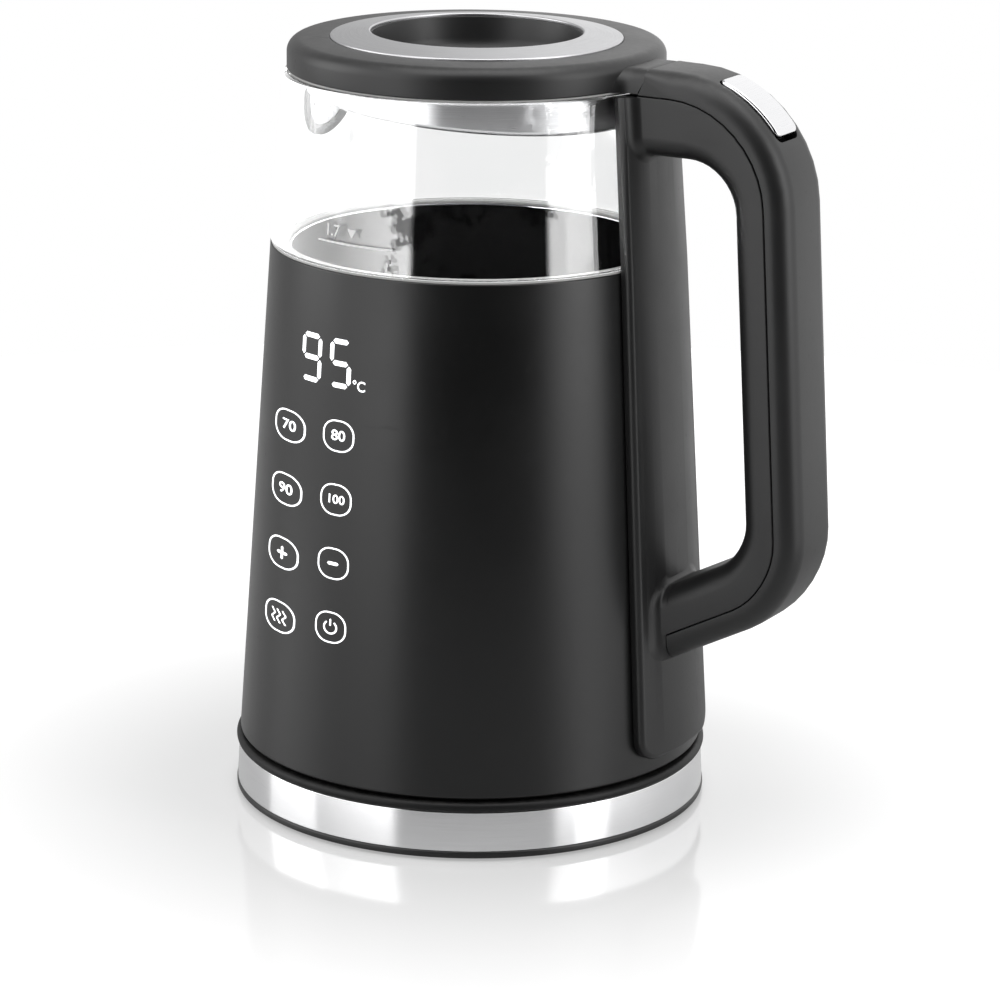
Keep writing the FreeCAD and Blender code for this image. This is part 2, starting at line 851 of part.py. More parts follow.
def hinge_lug():
    """Lug that carries the hinge pin, standing on the top of the spine inside the lid's tab."""
    low = handle_top - 2 * seam_depth
    head = rod(hinge_reach, hinge_height, hinge_lug_radius, hinge_lug_half_width)
    return merged(head, [block(hinge_reach - hinge_lug_radius, hinge_reach + hinge_lug_radius,
                               hinge_lug_half_width, low, hinge_height)])


def latch_guides():
    """Channel for the latch slide, standing on the upper arm's lower wall."""
    front = hinge_reach + hinge_drop + play
    back = front + guide_length
    low = handle_top - upper_arm_height
    side = slide_half_width + seat_gap
    floor = slide_low() - running_gap
    channel = block(front, back, side + guide_margin, low, slide_low() + slide_bar)
    return channel.cut(block(front, back, side, floor, handle_top))


def handle_frame():
    """Spine and inner half of the handle in one moulding, hollow, with a hinge lug and latch guides."""
    loop = handle_loop(0.0)
    hollow = handle_loop(grip_wall)
    inner_half = loop.cut(cover_side(seam_depth + seam_gap))
    guides = latch_guides().common(hollow)
    solid = merged(inner_half.cut(hollow), [guides])
    solid = solid.cut(wall_cone(spine_height - grip_wall))
    solid = merged(solid, [spine(), hinge_lug()])
    solid = solid.cut(rod(hinge_reach, hinge_height, hinge_pin_radius + thread_gap, grip_width))
    for tool in handle_screw_rooms():
        solid = solid.cut(tool)
    return solid


def lid_end(low, grow):
    """Everything in front of the parting line: slanted, and rounded about the hinge pin at its top."""
    slant = math.radians(parting_angle)
    reach = hinge_drop + grow

    def line(height):
        return hinge_reach + (reach + (height - hinge_height) * math.sin(slant)) / math.cos(slant)

    top = hinge_height + reach
    return prism([(0, low), (line(low), low), (line(top), top, reach), (0, top)], grip_width)


def opened_lid(low, grow):
    """Everything in front of the lid's top face when the lid stands fully open."""
    turned = math.radians(lid_opening)
    reach = hinge_drop + grow

    def line(height):
        return hinge_reach + (reach - (height - hinge_height) * math.cos(turned)) / math.sin(turned)

    top = handle_top + grow
    return prism([(0, low), (line(low), low), (line(top), top), (0, top)], grip_width)


def handle_cover():
    """Outer half of the handle, hollow, with the button's opening and a seat for the latch spring."""
    shell = handle_loop(0.0).common(cover_side(seam_depth))
    hollow = handle_loop(grip_wall)
    seat_middle = slide_low() + slide_bar / 2
    seat_reach = 2 * (spring_radius + spring_wire)
    seat = block(spring_back(), 2 * far, slide_half_width, seat_middle - seat_reach,
                 seat_middle + seat_reach / 2)
    seat = seat.common(hollow).common(cover_side(seam_depth)).cut(button_room())
    shell = merged(shell.cut(hollow), [seat])
    shell = shell.cut(wall_cone(spine_height + play))
    shell = shell.cut(lid_end(handle_top - upper_arm_height, play))
    shell = shell.cut(opened_lid(hinge_height, play))
    return shell.cut(button_opening())


def handle_screw(height):
    """Screw through the jacket into the spine, with its head inside the jacket."""
    seat = jacket_inside(height)
    shank = Part.makeCylinder(screw_radius, handle_screw_grip, Vector(seat, 0, height), along_x)
    stand_off = play + seat_gap
    head_start = Vector(seat - screw_head_height - stand_off, 0, height)
    head = Part.makeCylinder(screw_head_radius, screw_head_height, head_start, along_x)
    neck = Part.makeCylinder(screw_radius, stand_off, Vector(seat - stand_off, 0, height), along_x)
    return merged(head, [neck, shank])


def handle_screw_rooms():
    """Holes for the handle screws."""
    rooms = []
    for height in (handle_screw_high, handle_screw_low):
        seat = jacket_inside(height)
        start = Vector(seat - pot_gap / 2, 0, height)
        length = pot_gap / 2 + handle_screw_grip + thread_gap
        rooms.append(Part.makeCylinder(screw_radius + thread_gap, length, start, along_x))
    return rooms


def handle_screws():
    """Screws that hold the spine to the jacket."""
    return Part.makeCompound([handle_screw(height) for height in (handle_screw_high, handle_screw_low)])


# Lid
def handle_tab():
    """Rear tab of the lid: flares out of its side and carries the handle's outline to the parting line."""
    half = grip_width / 2
    root = lid_radius - tab_root
    wide = half + tab_flare + play
    face = outline([(0, -wide), (root, -wide), (root, -half, tab_flare), (far, -half), (far, half),
                    (root, half, tab_flare), (root, wide), (0, wide)],
                   lambda point: Vector(point.x, point.y, lid_bottom))
    solid = face.extrude(up * (handle_top - lid_bottom))
    upper = [edge for edge in solid.Edges if edge.BoundBox.ZMin > handle_top - hair]
    sides = [edge for edge in upper if root - hair < edge.BoundBox.XMin < far - hair]
    solid = solid.makeFillet(grip_edge, sides).common(lid_end(lid_bottom, 0.0))
    room = hinge_lug_radius + play
    return solid.cut(block(hinge_reach - room, far, hinge_lug_half_width + play, 0, hinge_height + room))


def ring_underside(radius):
    """Height of the steel ring's lower face at a radius."""
    slope = ring_rise / (ring_outer_radius - ring_inner_radius)
    return lid_top_height + lid_crown - ring_inset + slope * (ring_outer_radius - radius)


def lid_top():
    """Lid shell: vertical side, rounded shoulder, seat for the steel ring and a dished middle."""
    top = lid_top_height
    seat_out = ring_outer_radius + running_gap
    seat_low = ring_underside(seat_out) - running_gap
    dish_top = ring_inner_radius - play
    dish_high = ring_underside(dish_top) - running_gap
    floor = dish_high - dish_depth
    dish_low = dish_top - dish_draft
    inside = lid_radius - lid_wall
    ceiling = top - lid_wall
    shell = turned([(lid_radius, lid_bottom), (lid_radius, top, lid_shoulder), (seat_out, top + lid_crown),
                    (seat_out, seat_low), (dish_top, dish_high), (dish_low, floor, dish_corner), (0, floor),
                    (0, floor - lid_wall), (dish_low + lid_wall, floor - lid_wall, dish_corner),
                    (dish_top + lid_wall, seat_low - lid_wall),
                    (inside, ceiling, lid_shoulder - lid_wall), (inside, lid_bottom)])
    solid = merged(shell, [handle_tab().cut(post(0, 0, 0, ceiling, inside))])
    bore = hinge_pin_radius + running_gap
    return solid.cut(rod(hinge_reach, hinge_height, bore, hinge_pin_half_length + play))


def lid_steel_ring():
    """Satin ring, slightly coned up to the edge of the dish."""
    low = ring_underside(ring_outer_radius)
    high = ring_underside(ring_inner_radius)
    edge = ring_thickness / 2
    return turned([(ring_outer_radius, low), (ring_outer_radius, low + ring_thickness, edge),
                   (ring_inner_radius, high + ring_thickness, edge), (ring_inner_radius, high)])


def liner_cut(lift):
    """Everything under the liner's slanted lower edge, raised by a lift."""
    front = glass_top - liner_front_drop + lift
    back = glass_top - liner_back_drop + lift
    return prism([(-liner_radius, front), (liner_radius, back), (liner_radius, 0), (-liner_radius, 0)],
                 liner_radius)


def lid_liner():
    """Steel cup under the lid, shallower towards the spout."""
    top = lid_top_height - lid_wall - seat_gap
    outer = post(0, 0, 0, top, liner_radius).cut(liner_cut(0.0))
    inner = post(0, 0, 0, top, liner_radius - liner_wall).cut(liner_cut(liner_wall))
    return outer.cut(inner)


def lid_seal():
    """Flat ring between the lid's side wall and the rim of the glass."""
    return tube(liner_radius + running_gap, seal_reach, lid_bottom - seal_thickness, lid_bottom)


def hinge_pin():
    """Pin through the lug and the cheeks of the lid's tab."""
    return rod(hinge_reach, hinge_height, hinge_pin_radius, hinge_pin_half_length)


# Release button and latch
def bend_centre():
    """Centre of the handle's top bend."""
    z = handle_top - top_bend
    return grip_line(z, finger_gap + grip_depth) - top_bend / math.cos(lean), z


def press_axis():
    """Unit vector out of the button, square to the handle's surface at its middle."""
    angle = math.radians(button_angle)
    return Vector(math.cos(angle), 0, math.sin(angle))


def button_bar(low_end, high_end, half_width, inner, outer):
    """Bar along the press axis, between two places along the bend and two radii."""
    corner = Vector(-high_end, -half_width, inner)
    bar = Part.makeBox(low_end + high_end, 2 * half_width, outer - inner, corner)
    bar.rotate(Vector(), across, 90.0 - button_angle)
    x, z = bend_centre()
    bar.translate(Vector(x, 0, z))
    return bar


def bend_ring(inner, outer):
    """Ring about the axis of the top bend."""
    x, z = bend_centre()
    return rod(x, z, outer, grip_width).cut(rod(x, z, inner, 2 * grip_width))


def button_opening():
    """Hole in the handle cover for the button, longer at its lower end for the thumb."""
    half = button_length / 2 + play
    low_end = half + thumb_room
    under_wall = math.sqrt((top_bend - grip_wall) ** 2 - low_end ** 2) - play
    return button_bar(low_end, half, button_width / 2 + play, under_wall, 2 * top_bend)


def button_room():
    """Space under the cap that it moves into when it is pressed."""
    half = button_length / 2 + play
    floor = top_bend + button_proud - button_cap - button_travel - play
    bar = button_bar(half, half, button_width / 2 + play, 0.0, 2 * top_bend)
    return bend_ring(floor, 2 * top_bend).common(bar)


def ramp_normal():
    """Normal of the wedge between stem and slide, set by the ratio of the two travels."""
    axis = press_axis()
    slope = math.atan2(axis.z, latch_travel / button_travel + axis.x)
    return Vector(math.sin(slope), 0, -math.cos(slope))


def ramp_point():
    """Point on the stem's wedge face, on the press axis, high enough for the wedge's whole travel."""
    axis = press_axis()
    normal = ramp_normal()
    tip = stem_half_width * normal.z / axis.dot(normal)
    sweep = tip + button_travel * axis.x + latch_travel + play
    height = slide_low() + slide_bar - sweep * normal.x / normal.z
    x, z = bend_centre()
    return Vector(x, 0, z) + axis * ((height - z) / axis.z)


def under_ramp(gap):
    """Everything on the slide's side of the wedge, past a gap."""
    normal = ramp_normal()
    slab = Part.makeBox(2 * far, 2 * far, far, Vector(-far, -far, 0))
    slab.Placement = FreeCAD.Placement(Vector(), FreeCAD.Rotation(up, normal)).multiply(slab.Placement)
    slab.translate(ramp_point() + normal * gap)
    return slab


def release_button():
    """Curved cap with a retaining flange under it and a wedge-ended stem."""
    half = button_length / 2
    outer = top_bend + button_proud
    cap_inner = outer - button_cap
    cap = bend_ring(cap_inner, outer).common(button_bar(half, half, button_width / 2, 0.0, 2 * top_bend))
    brim = []
    for face in cap.Faces:
        if face.Surface.TypeId == "Part::GeomCylinder" and abs(face.Surface.Radius - outer) < hair:
            brim += face.Edges
    cap = cap.makeFillet(button_edge, brim)
    margin = button_flange_margin
    flange = bend_ring(cap_inner - button_flange, cap_inner).common(
        button_bar(2 * stem_half_width, half + margin, button_width / 2 + margin, 0.0, 2 * top_bend))
    stem = button_bar(stem_half_width, stem_half_width, stem_half_width, 0.0, cap_inner - button_flange / 2)
    return merged(cap, [flange, stem.cut(under_ramp(0.0))])


def slide_low():
    """Underside of the latch slide's bar, on the floor of its guides."""
    return handle_top - upper_arm_height + grip_wall + guide_floor + running_gap


def slide_back():
    """Rear end of the latch slide."""
    return ramp_point().x + 2 * stem_half_width


def spring_back():
    """Seat of the latch spring on the handle cover."""
    return slide_back() + (spring_turns + 1) * spring_radius


def latch_slide():
    """Slide with a tongue at the lid's tab, a bar on the guides and a wedge under the button."""
    nose = hinge_reach + hinge_drop + 2 * play
    low = slide_low()
    tongue_top = hinge_height - 2 * play
    tongue_low = tongue_top - slide_tongue
    web = nose + 2 * slide_tongue
    bar = prism([(nose, tongue_low), (nose, tongue_top), (web, tongue_top), (web, low + slide_bar),
                 (slide_back(), low + slide_bar), (slide_back(), low), (web - slide_web, low),
                 (web - slide_web, tongue_low)], slide_half_width)
    wedge = block(web, slide_back(), slide_half_width, low, handle_top).common(under_ramp(running_gap))
    x, z = bend_centre()
    flange_inner = top_bend + button_proud - button_cap - button_flange
    pressed = press_axis() * -button_travel - along_x * latch_travel
    for shift in (Vector(), pressed):
        wedge = wedge.common(rod(x + shift.x, z + shift.z, flange_inner - play, grip_width))
    return merged(bar, [wedge])


def latch_spring():
    """Coil between the back of the slide and its seat, wound from quarter turns."""
    start = slide_back() + spring_wire + running_gap
    length = spring_back() - spring_wire - running_gap - start
    height = slide_low() + slide_bar / 2
    steps = 4 * spring_turns

    def along(step):
        angle = math.pi / 2 * step
        return Vector(start + length * step / steps, spring_radius * math.cos(angle),
                      height + spring_radius * math.sin(angle))

    edges = [Part.Arc(along(step), along(step + 0.5), along(step + 1)).toShape() for step in range(steps)]
    first = edges[0]
    section = Part.Wire(Part.makeCircle(spring_wire, along(0), first.tangentAt(first.FirstParameter)))
    return Part.Wire(edges).makePipeShell([section], True, False)


pieces = [base_bottom_cover, base_steel_band, base_top_cover, base_rubber_feet, base_screws, cord_gland,
          base_connector, contact_sleeves, connector_shutter, outer_jacket, bottom_cover, bottom_screws,
          socket_connector, socket_contacts, heating_plate, heating_element, thermal_cutouts,
          temperature_probe, power_board, touch_board, display_module, inner_pot, glass_seal, glass_wall,
          spout_filter_frame, spout_filter_mesh, handle_frame, handle_cover, handle_screws, hinge_pin,
          lid_top, lid_steel_ring, lid_liner, lid_seal, release_button, latch_slide, latch_spring]

os.makedirs("parts", exist_ok=True)
for piece in pieces:
    shape = piece()
    shape.exportStep("parts/" + piece.__name__ + ".step")
    print(piece.__name__, shape.ShapeType, len(shape.Solids), shape.isValid(), round(shape.Volume, 1))
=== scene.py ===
"""Looks of a cordless jug kettle and its power base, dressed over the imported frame."""

import logging
import math
from dataclasses import dataclass
from enum import Enum
from typing import Callable, Iterable, Sequence

import bmesh
import bpy
from mathutils import Matrix, Vector


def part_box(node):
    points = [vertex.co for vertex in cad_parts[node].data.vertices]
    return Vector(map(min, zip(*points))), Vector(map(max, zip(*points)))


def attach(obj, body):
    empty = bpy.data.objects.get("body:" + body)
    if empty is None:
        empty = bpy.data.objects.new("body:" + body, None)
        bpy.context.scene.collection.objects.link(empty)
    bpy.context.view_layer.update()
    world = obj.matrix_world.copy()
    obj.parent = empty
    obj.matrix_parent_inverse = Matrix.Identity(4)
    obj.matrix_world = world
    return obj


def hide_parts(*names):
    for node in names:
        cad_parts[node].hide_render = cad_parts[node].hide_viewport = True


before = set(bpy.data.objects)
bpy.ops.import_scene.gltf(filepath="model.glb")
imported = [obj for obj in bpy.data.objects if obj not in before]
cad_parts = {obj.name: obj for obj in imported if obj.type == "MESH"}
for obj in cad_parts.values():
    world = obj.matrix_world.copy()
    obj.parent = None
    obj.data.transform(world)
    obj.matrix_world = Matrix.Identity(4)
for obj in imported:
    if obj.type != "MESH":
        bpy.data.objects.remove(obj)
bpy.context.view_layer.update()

log = logging.getLogger("kettle")

MM = 0.001  # a millimetre, in metres
HAIR = 1e-6  # distance under which points are one, in metres
TURN_STEPS = 192  # steps of a full turn
ARC_STEP = math.radians(9.0)  # widest step of a rounded corner
RIM_STEPS = 10  # steps of a rounded rim
CORNER_STEPS = 8  # steps of the button opening's corners
SHARP = math.radians(32.0)  # angle past which an edge stays sharp
STRIP = 1.2  # width of the strips of a bent sheet, in millimetres
ROOT_SINK = 2.0  # how far the arms' roots reach into the spine, in millimetres
OVERCUT = 1.0  # how far a cut starts outside a face, in millimetres

Mesh = bmesh.types.BMesh
Element = bmesh.types.BMVert | bmesh.types.BMEdge | bmesh.types.BMFace
Node = bpy.types.Node
Socket = bpy.types.NodeSocket
Sockets = bpy.types.NodeOutputs
Colour = tuple[float, float, float]
Inputs = dict[str | int, object]


class Plane(Enum):
    """Planes that a flat section is drawn on."""

    UPRIGHT = "xz"
    LEVEL = "xy"

    def place(self, across: float, along: float) -> Vector:
        """Puts a point of a section, in millimetres, in space."""
        if self is Plane.UPRIGHT:
            return Vector((across, 0.0, along)) * MM
        return Vector((across, along, 0.0)) * MM


class Rim(Enum):
    """Kinds of outline edge that are rounded apart from each other."""

    PLAIN = 0
    GRIP = 1
    SEAM = 2


class Join(Enum):
    """Ways to combine two solids."""

    ADD = "UNION"
    CUT = "DIFFERENCE"
    KEEP = "INTERSECT"


class Body(Enum):
    """Bodies of the frame that new pieces ride on."""

    BASE = "base"
    SWIVEL = "swivel"
    KETTLE = "kettle"
    LID = "lid"
    BUTTON = "button"


@dataclass(frozen=True)
class Corner:
    """Corner of a flat section, in millimetres.

    Attributes:
        across: Distance along the section's first axis.
        along: Distance along the section's second axis.
        radius: Radius that the corner is rounded to.
        rim: Kind of the outline edge that starts here.
    """

    across: float
    along: float
    radius: float = 0.0
    rim: Rim = Rim.PLAIN


def oblong(wide: float, tall: float, radius: float = 0.0, rim: Rim = Rim.PLAIN) -> list[Corner]:
    """Gives the corners of a rectangle round zero, from its half sizes."""
    places = ((-wide, -tall), (wide, -tall), (wide, tall), (-wide, tall))
    return [Corner(x, y, radius, rim) for x, y in places]


def everything(bm: Mesh) -> list[Element]:
    """Gives all that a mesh is made of."""
    return bm.verts[:] + bm.edges[:] + bm.faces[:]


def only(geom: Iterable[Element], kind: type) -> list[Element]:
    """Picks one kind of element out of an operator's result."""
    return [element for element in geom if isinstance(element, kind)]


def rounded(bm: Mesh, geom: Sequence[Element], offset: float, steps: int,
            affect: str = "EDGES") -> None:
    """Rounds edges or corners, by an offset in metres."""
    bmesh.ops.bevel(bm, geom=geom, offset=offset, offset_type="OFFSET", segments=steps, profile=0.5,
                    affect=affect, material=-1, clamp_overlap=False)


def shift(bm: Mesh, way: Sequence[float]) -> None:
    """Moves a whole mesh, in metres."""
    bmesh.ops.translate(bm, verts=bm.verts[:], vec=way)


def swing(bm: Mesh, degrees: float, axis: str) -> None:
    """Turns a whole mesh about an axis through zero."""
    bmesh.ops.rotate(bm, cent=(0, 0, 0), verts=bm.verts[:],
                     matrix=Matrix.Rotation(math.radians(degrees), 3, axis))


def outward(bm: Mesh) -> None:
    """Turns every face of a mesh outwards."""
    bmesh.ops.recalc_face_normals(bm, faces=bm.faces[:])


def tidy(bm: Mesh) -> Mesh:
    """Merges doubles, drops flat slivers and turns the faces outwards."""
    bmesh.ops.remove_doubles(bm, verts=bm.verts[:], dist=HAIR)
    bmesh.ops.dissolve_degenerate(bm, edges=bm.edges[:], dist=HAIR)
    outward(bm)
    return bm


def section(corners: Sequence[Corner], plane: Plane = Plane.UPRIGHT) -> Mesh:
    """Draws one flat face with rounded corners.

    Args:
        corners: Corners in order round the face.
        plane: Plane that the face lies on.

    Returns:
        A mesh with the face, its edges marked by their rim kind.
    """
    bm = bmesh.new()
    mark = bm.edges.layers.int.new("rim")
    spots = [plane.place(corner.across, corner.along) for corner in corners]
    verts = [bm.verts.new(spot) for spot in spots]
    face = bm.faces.new(verts)
    for loop, corner in zip(face.loops, corners):
        loop.edge[mark] = corner.rim.value
    for index, corner in enumerate(corners):
        if corner.radius > 0.0:
            before = spots[index - 1] - spots[index]
            after = spots[(index + 1) % len(spots)] - spots[index]
            angle = before.angle(after)
            steps = max(3, math.ceil((math.pi - angle) / ARC_STEP))
            rounded(bm, [verts[index]], corner.radius * MM / math.tan(angle / 2), steps, "VERTICES")
    spread_marks(bm, mark)
    return bm


def spread_marks(bm: Mesh, mark: bmesh.types.BMLayerItem) -> None:
    """Gives the arcs of a section the rim kind of the straight edges beside them.

    Args:
        bm: The section.
        mark: Layer that holds the rim kinds.
    """
    bm.faces.ensure_lookup_table()
    edges = [loop.edge for loop in bm.faces[0].loops]
    known = [index for index, edge in enumerate(edges) if edge[mark]]
    for start, end in zip(known, known[1:]):
        if edges[start][mark] == edges[end][mark]:
            for index in range(start + 1, end):
                edges[index][mark] = edges[start][mark]


def turn(corners: Sequence[Corner], steps: int = TURN_STEPS, cuts: int = 0) -> Mesh:
    """Turns a section about the upright axis into a closed solid.

    Args:
        corners: Section as (radius, height) corners.
        steps: Steps of the full turn.
        cuts: Extra rings along each long wall of the section.

    Returns:
        The closed mesh.
    """
    bm = section(corners)
    bmesh.ops.delete(bm, geom=bm.faces[:], context="FACES_ONLY")
    on_axis = [e for e in bm.edges if max(abs(v.co.x) for v in e.verts) < HAIR]
    bmesh.ops.delete(bm, geom=on_axis, context="EDGES")
    if cuts:
        longest = max(e.calc_length() for e in bm.edges)
        walls = [e for e in bm.edges if e.calc_length() > longest / 2]
        bmesh.ops.subdivide_edges(bm, edges=walls, cuts=cuts)
    bmesh.ops.spin(bm, geom=bm.verts[:] + bm.edges[:], cent=(0, 0, 0), axis=(0, 0, 1), angle=2 * math.pi,
                   steps=steps, use_merge=True, use_normal_flip=False, use_duplicate=False)
    return tidy(bm)


def ring(inner: float, outer: float, low: float, high: float, edge: float) -> Mesh:
    """Turns a plain ring with rounded edges, in millimetres."""
    return turn([Corner(inner, low, edge), Corner(outer, low, edge), Corner(outer, high, edge),
                 Corner(inner, high, edge)])


def drum(x: float, y: float, low: float, high: float, radius: float, edge: float = 0.0,
         steps: int = 48) -> Mesh:
    """Makes an upright disc with a rounded rim, in millimetres."""
    bm = turn([Corner(0, low), Corner(radius, low, edge), Corner(radius, high, edge), Corner(0, high)], steps)
    shift(bm, Vector((x, y, 0)) * MM)
    return bm


def draw_out(bm: Mesh, way: Sequence[float]) -> None:
    """Draws every face of a mesh out into a closed solid.

    Args:
        bm: The faces. They are changed.
        way: Way that they are drawn, in metres.
    """
    made = bmesh.ops.extrude_face_region(bm, geom=bm.faces[:], use_keep_orig=True)
    bmesh.ops.translate(bm, verts=only(made["geom"], bmesh.types.BMVert), vec=way)
    outward(bm)


def slab(corners: Sequence[Corner], half_width: float, rounds: dict[Rim, float]) -> Mesh:
    """Makes a prism across the XZ plane with rounded rims.

    Args:
        corners: Outline on the XZ plane.
        half_width: Half the width along Y.
        rounds: Radius for each kind of rim.

    Returns:
        The closed mesh.
    """
    bm = section(corners)
    shift(bm, (0, -half_width * MM, 0))
    draw_out(bm, (0, 2 * half_width * MM, 0))
    mark = bm.edges.layers.int["rim"]
    for rim, radius in rounds.items():
        edges = [e for e in bm.edges if e[mark] == rim.value and len(e.link_faces) == 2]
        rounded(bm, edges, radius * MM, RIM_STEPS)
    return tidy(bm)


def raised(corners: Sequence[Corner], low: float, high: float, edge: float) -> Mesh:
    """Makes an upright prism with its marked upper rims rounded.

    Args:
        corners: Outline on the level plane.
        low: Height of its foot.
        high: Height of its top.
        edge: Radius of the marked upper rims.

    Returns:
        The closed mesh.
    """
    bm = section(corners, Plane.LEVEL)
    shift(bm, (0, 0, low * MM))
    draw_out(bm, (0, 0, (high - low) * MM))
    mark = bm.edges.layers.int["rim"]
    upper = [e for e in bm.edges if e[mark] and all(v.co.z > high * MM - HAIR for v in e.verts)]
    rounded(bm, upper, edge * MM, RIM_STEPS)
    return tidy(bm)


def cut_strips(bm: Mesh) -> None:
    """Cuts a flat mesh into upright strips, so that it bends round a wall."""
    count = int(max(abs(v.co.x) for v in bm.verts) / MM / STRIP)
    for index in range(-count, count + 1):
        bmesh.ops.bisect_plane(bm, geom=everything(bm), dist=HAIR, plane_co=(index * STRIP * MM, 0, 0),
                               plane_no=(1, 0, 0))


def box_mesh(low: Sequence[float], high: Sequence[float]) -> Mesh:
    """Makes a box between two corners, in millimetres."""
    low, high = Vector(low), Vector(high)
    bm = bmesh.new()
    bmesh.ops.create_cube(bm, size=1.0)
    bmesh.ops.scale(bm, vec=(high - low) * MM, verts=bm.verts[:])
    shift(bm, (low + high) / 2 * MM)
    return bm


def joined(parts: Iterable[Mesh]) -> Mesh:
    """Puts several meshes into one.

    Args:
        parts: The meshes. They are freed.

    Returns:
        The one mesh.
    """
    whole = bmesh.new()
    for part in parts:
        mesh = bpy.data.meshes.new("part")
        part.to_mesh(mesh)
        part.free()
        whole.from_mesh(mesh)
        bpy.data.meshes.remove(mesh)
    return whole


def shown(bm: Mesh, name: str) -> bpy.types.Object:
    """Makes an object in the scene from a mesh, which is freed."""
    mesh = bpy.data.meshes.new(name)
    bm.to_mesh(mesh)
    bm.free()
    return linked(name, mesh)


def linked(name: str, data: bpy.types.ID) -> bpy.types.Object:
    """Puts an object with the given data in the scene."""
    thing = bpy.data.objects.new(name, data)
    bpy.context.scene.collection.objects.link(thing)
    return thing


def combined(body: Mesh, tool: Mesh, how: Join) -> Mesh:
    """Adds a solid to another, cuts it out, or keeps what both share.

    Args:
        body: Solid that is worked on. It is freed.
        tool: Solid that it is worked with. It is freed.
        how: Way to combine them.

    Returns:
        The new solid.
    """
    objects = [shown(bm, "solid") for bm in (body, tool)]
    work = objects[0].modifiers.new("join", "BOOLEAN")
    work.operation = how.value
    work.solver = "EXACT"
    work.object = objects[1]
    result = bmesh.new()
    result.from_object(objects[0], bpy.context.evaluated_depsgraph_get())
    for thing in objects:
        mesh = thing.data
        bpy.data.objects.remove(thing)
        bpy.data.meshes.remove(mesh)
    bmesh.ops.remove_doubles(result, verts=result.verts[:], dist=HAIR)
    return result


def shade(bm: Mesh) -> None:
    """Makes faces smooth and keeps edges sharp past an angle."""
    for face in bm.faces:
        face.smooth = True
    for edge in bm.edges:
        edge.smooth = len(edge.link_faces) == 2 and edge.calc_face_angle(0.0) < SHARP


class Graph:
    """Thin hand over a node tree, so that a material reads as a short list of steps."""

    def __init__(self, tree: bpy.types.NodeTree) -> None:
        """Keeps the tree."""
        self.tree = tree

    def feed(self, node: Node, inputs: Inputs) -> None:
        """Links sockets to a node's inputs, or sets them to plain values.

        Args:
            node: The node.
            inputs: A socket or a value for each input, by its name or place.
        """
        for key, value in inputs.items():
            if isinstance(value, Socket):
                self.tree.links.new(value, node.inputs[key])
            else:
                node.inputs[key].default_value = value

    def add(self, kind: str, inputs: Inputs | None = None, **settings: object) -> Node:
        """Adds a node.

        Args:
            kind: Blender's name for its type.
            inputs: What feeds its inputs.
            settings: Its properties.

        Returns:
            The node.
        """
        node = self.tree.nodes.new(kind)
        for name, value in settings.items():
            setattr(node, name, value)
        self.feed(node, inputs or {})
        return node

    def place(self) -> Socket:
        """Gives the piece's own coordinates."""
        return self.add("ShaderNodeTexCoord").outputs["Object"]

    def math(self, operation: str, first: object, second: object = 0.0) -> Socket:
        """Works out a value from two others."""
        return self.add("ShaderNodeMath", {0: first, 1: second}, operation=operation).outputs[0]

    def vector(self, operation: str, first: object, second: Sequence[float] = (0, 0, 0)) -> Socket:
        """Works out a value from two vectors."""
        node = self.add("ShaderNodeVectorMath", {0: first, 1: second}, operation=operation)
        return node.outputs["Value"]

    def split(self, vector: Socket) -> Sockets:
        """Takes a vector apart."""
        return self.add("ShaderNodeSeparateXYZ", {"Vector": vector}).outputs

    def remap(self, value: Socket, low: float, high: float, to_low: float, to_high: float) -> Socket:
        """Maps a value from one span to another, held at the ends."""
        spans = {0: value, 1: low, 2: high, 3: to_low, 4: to_high}
        return self.add("ShaderNodeMapRange", spans, clamp=True).outputs[0]

    def mask(self, value: Socket, low: float, high: float) -> Socket:
        """Makes a mask that rises between two values."""
        return self.remap(value, low, high, 0.0, 1.0)

    def span(self, mask: Socket, low: float, high: float) -> Socket:
        """Gives a value that goes with a mask from one number to another."""
        return self.remap(mask, 0.0, 1.0, low, high)

    def noise(self, vector: Socket, scale: object, detail: float = 3.0, rough: float = 0.5) -> Socket:
        """Adds a noise texture and gives its value."""
        inputs = {"Vector": vector, "Scale": scale, "Detail": detail, "Roughness": rough}
        return self.add("ShaderNodeTexNoise", inputs).outputs["Fac"]

    def blend(self, mask: Socket, first: Colour | Socket, second: Colour) -> Socket:
        """Mixes two colours by a mask."""
        start = first if isinstance(first, Socket) else (*first, 1.0)
        return self.add("ShaderNodeMix", {0: mask, 6: start, 7: (*second, 1.0)}, data_type="RGBA").outputs[2]

    def bump(self, height: Socket, strength: float, depth: float) -> Socket:
        """Gives the normal of a surface raised by a height, in millimetres."""
        inputs = {"Strength": strength, "Distance": depth * MM, "Height": height}
        return self.add("ShaderNodeBump", inputs).outputs["Normal"]

    def seen(self, path: Node) -> Socket:
        """Tells the rays that come from the camera, straight or through glass."""
        return self.math("MAXIMUM", path.outputs["Is Camera Ray"], path.outputs["Is Transmission Ray"])

    def effect(self, kind: "Effect", **values: float) -> Sockets:
        """Places a shared effect with its own values and gives what comes out."""
        return self.add("ShaderNodeGroup", values, node_tree=kind.tree()).outputs


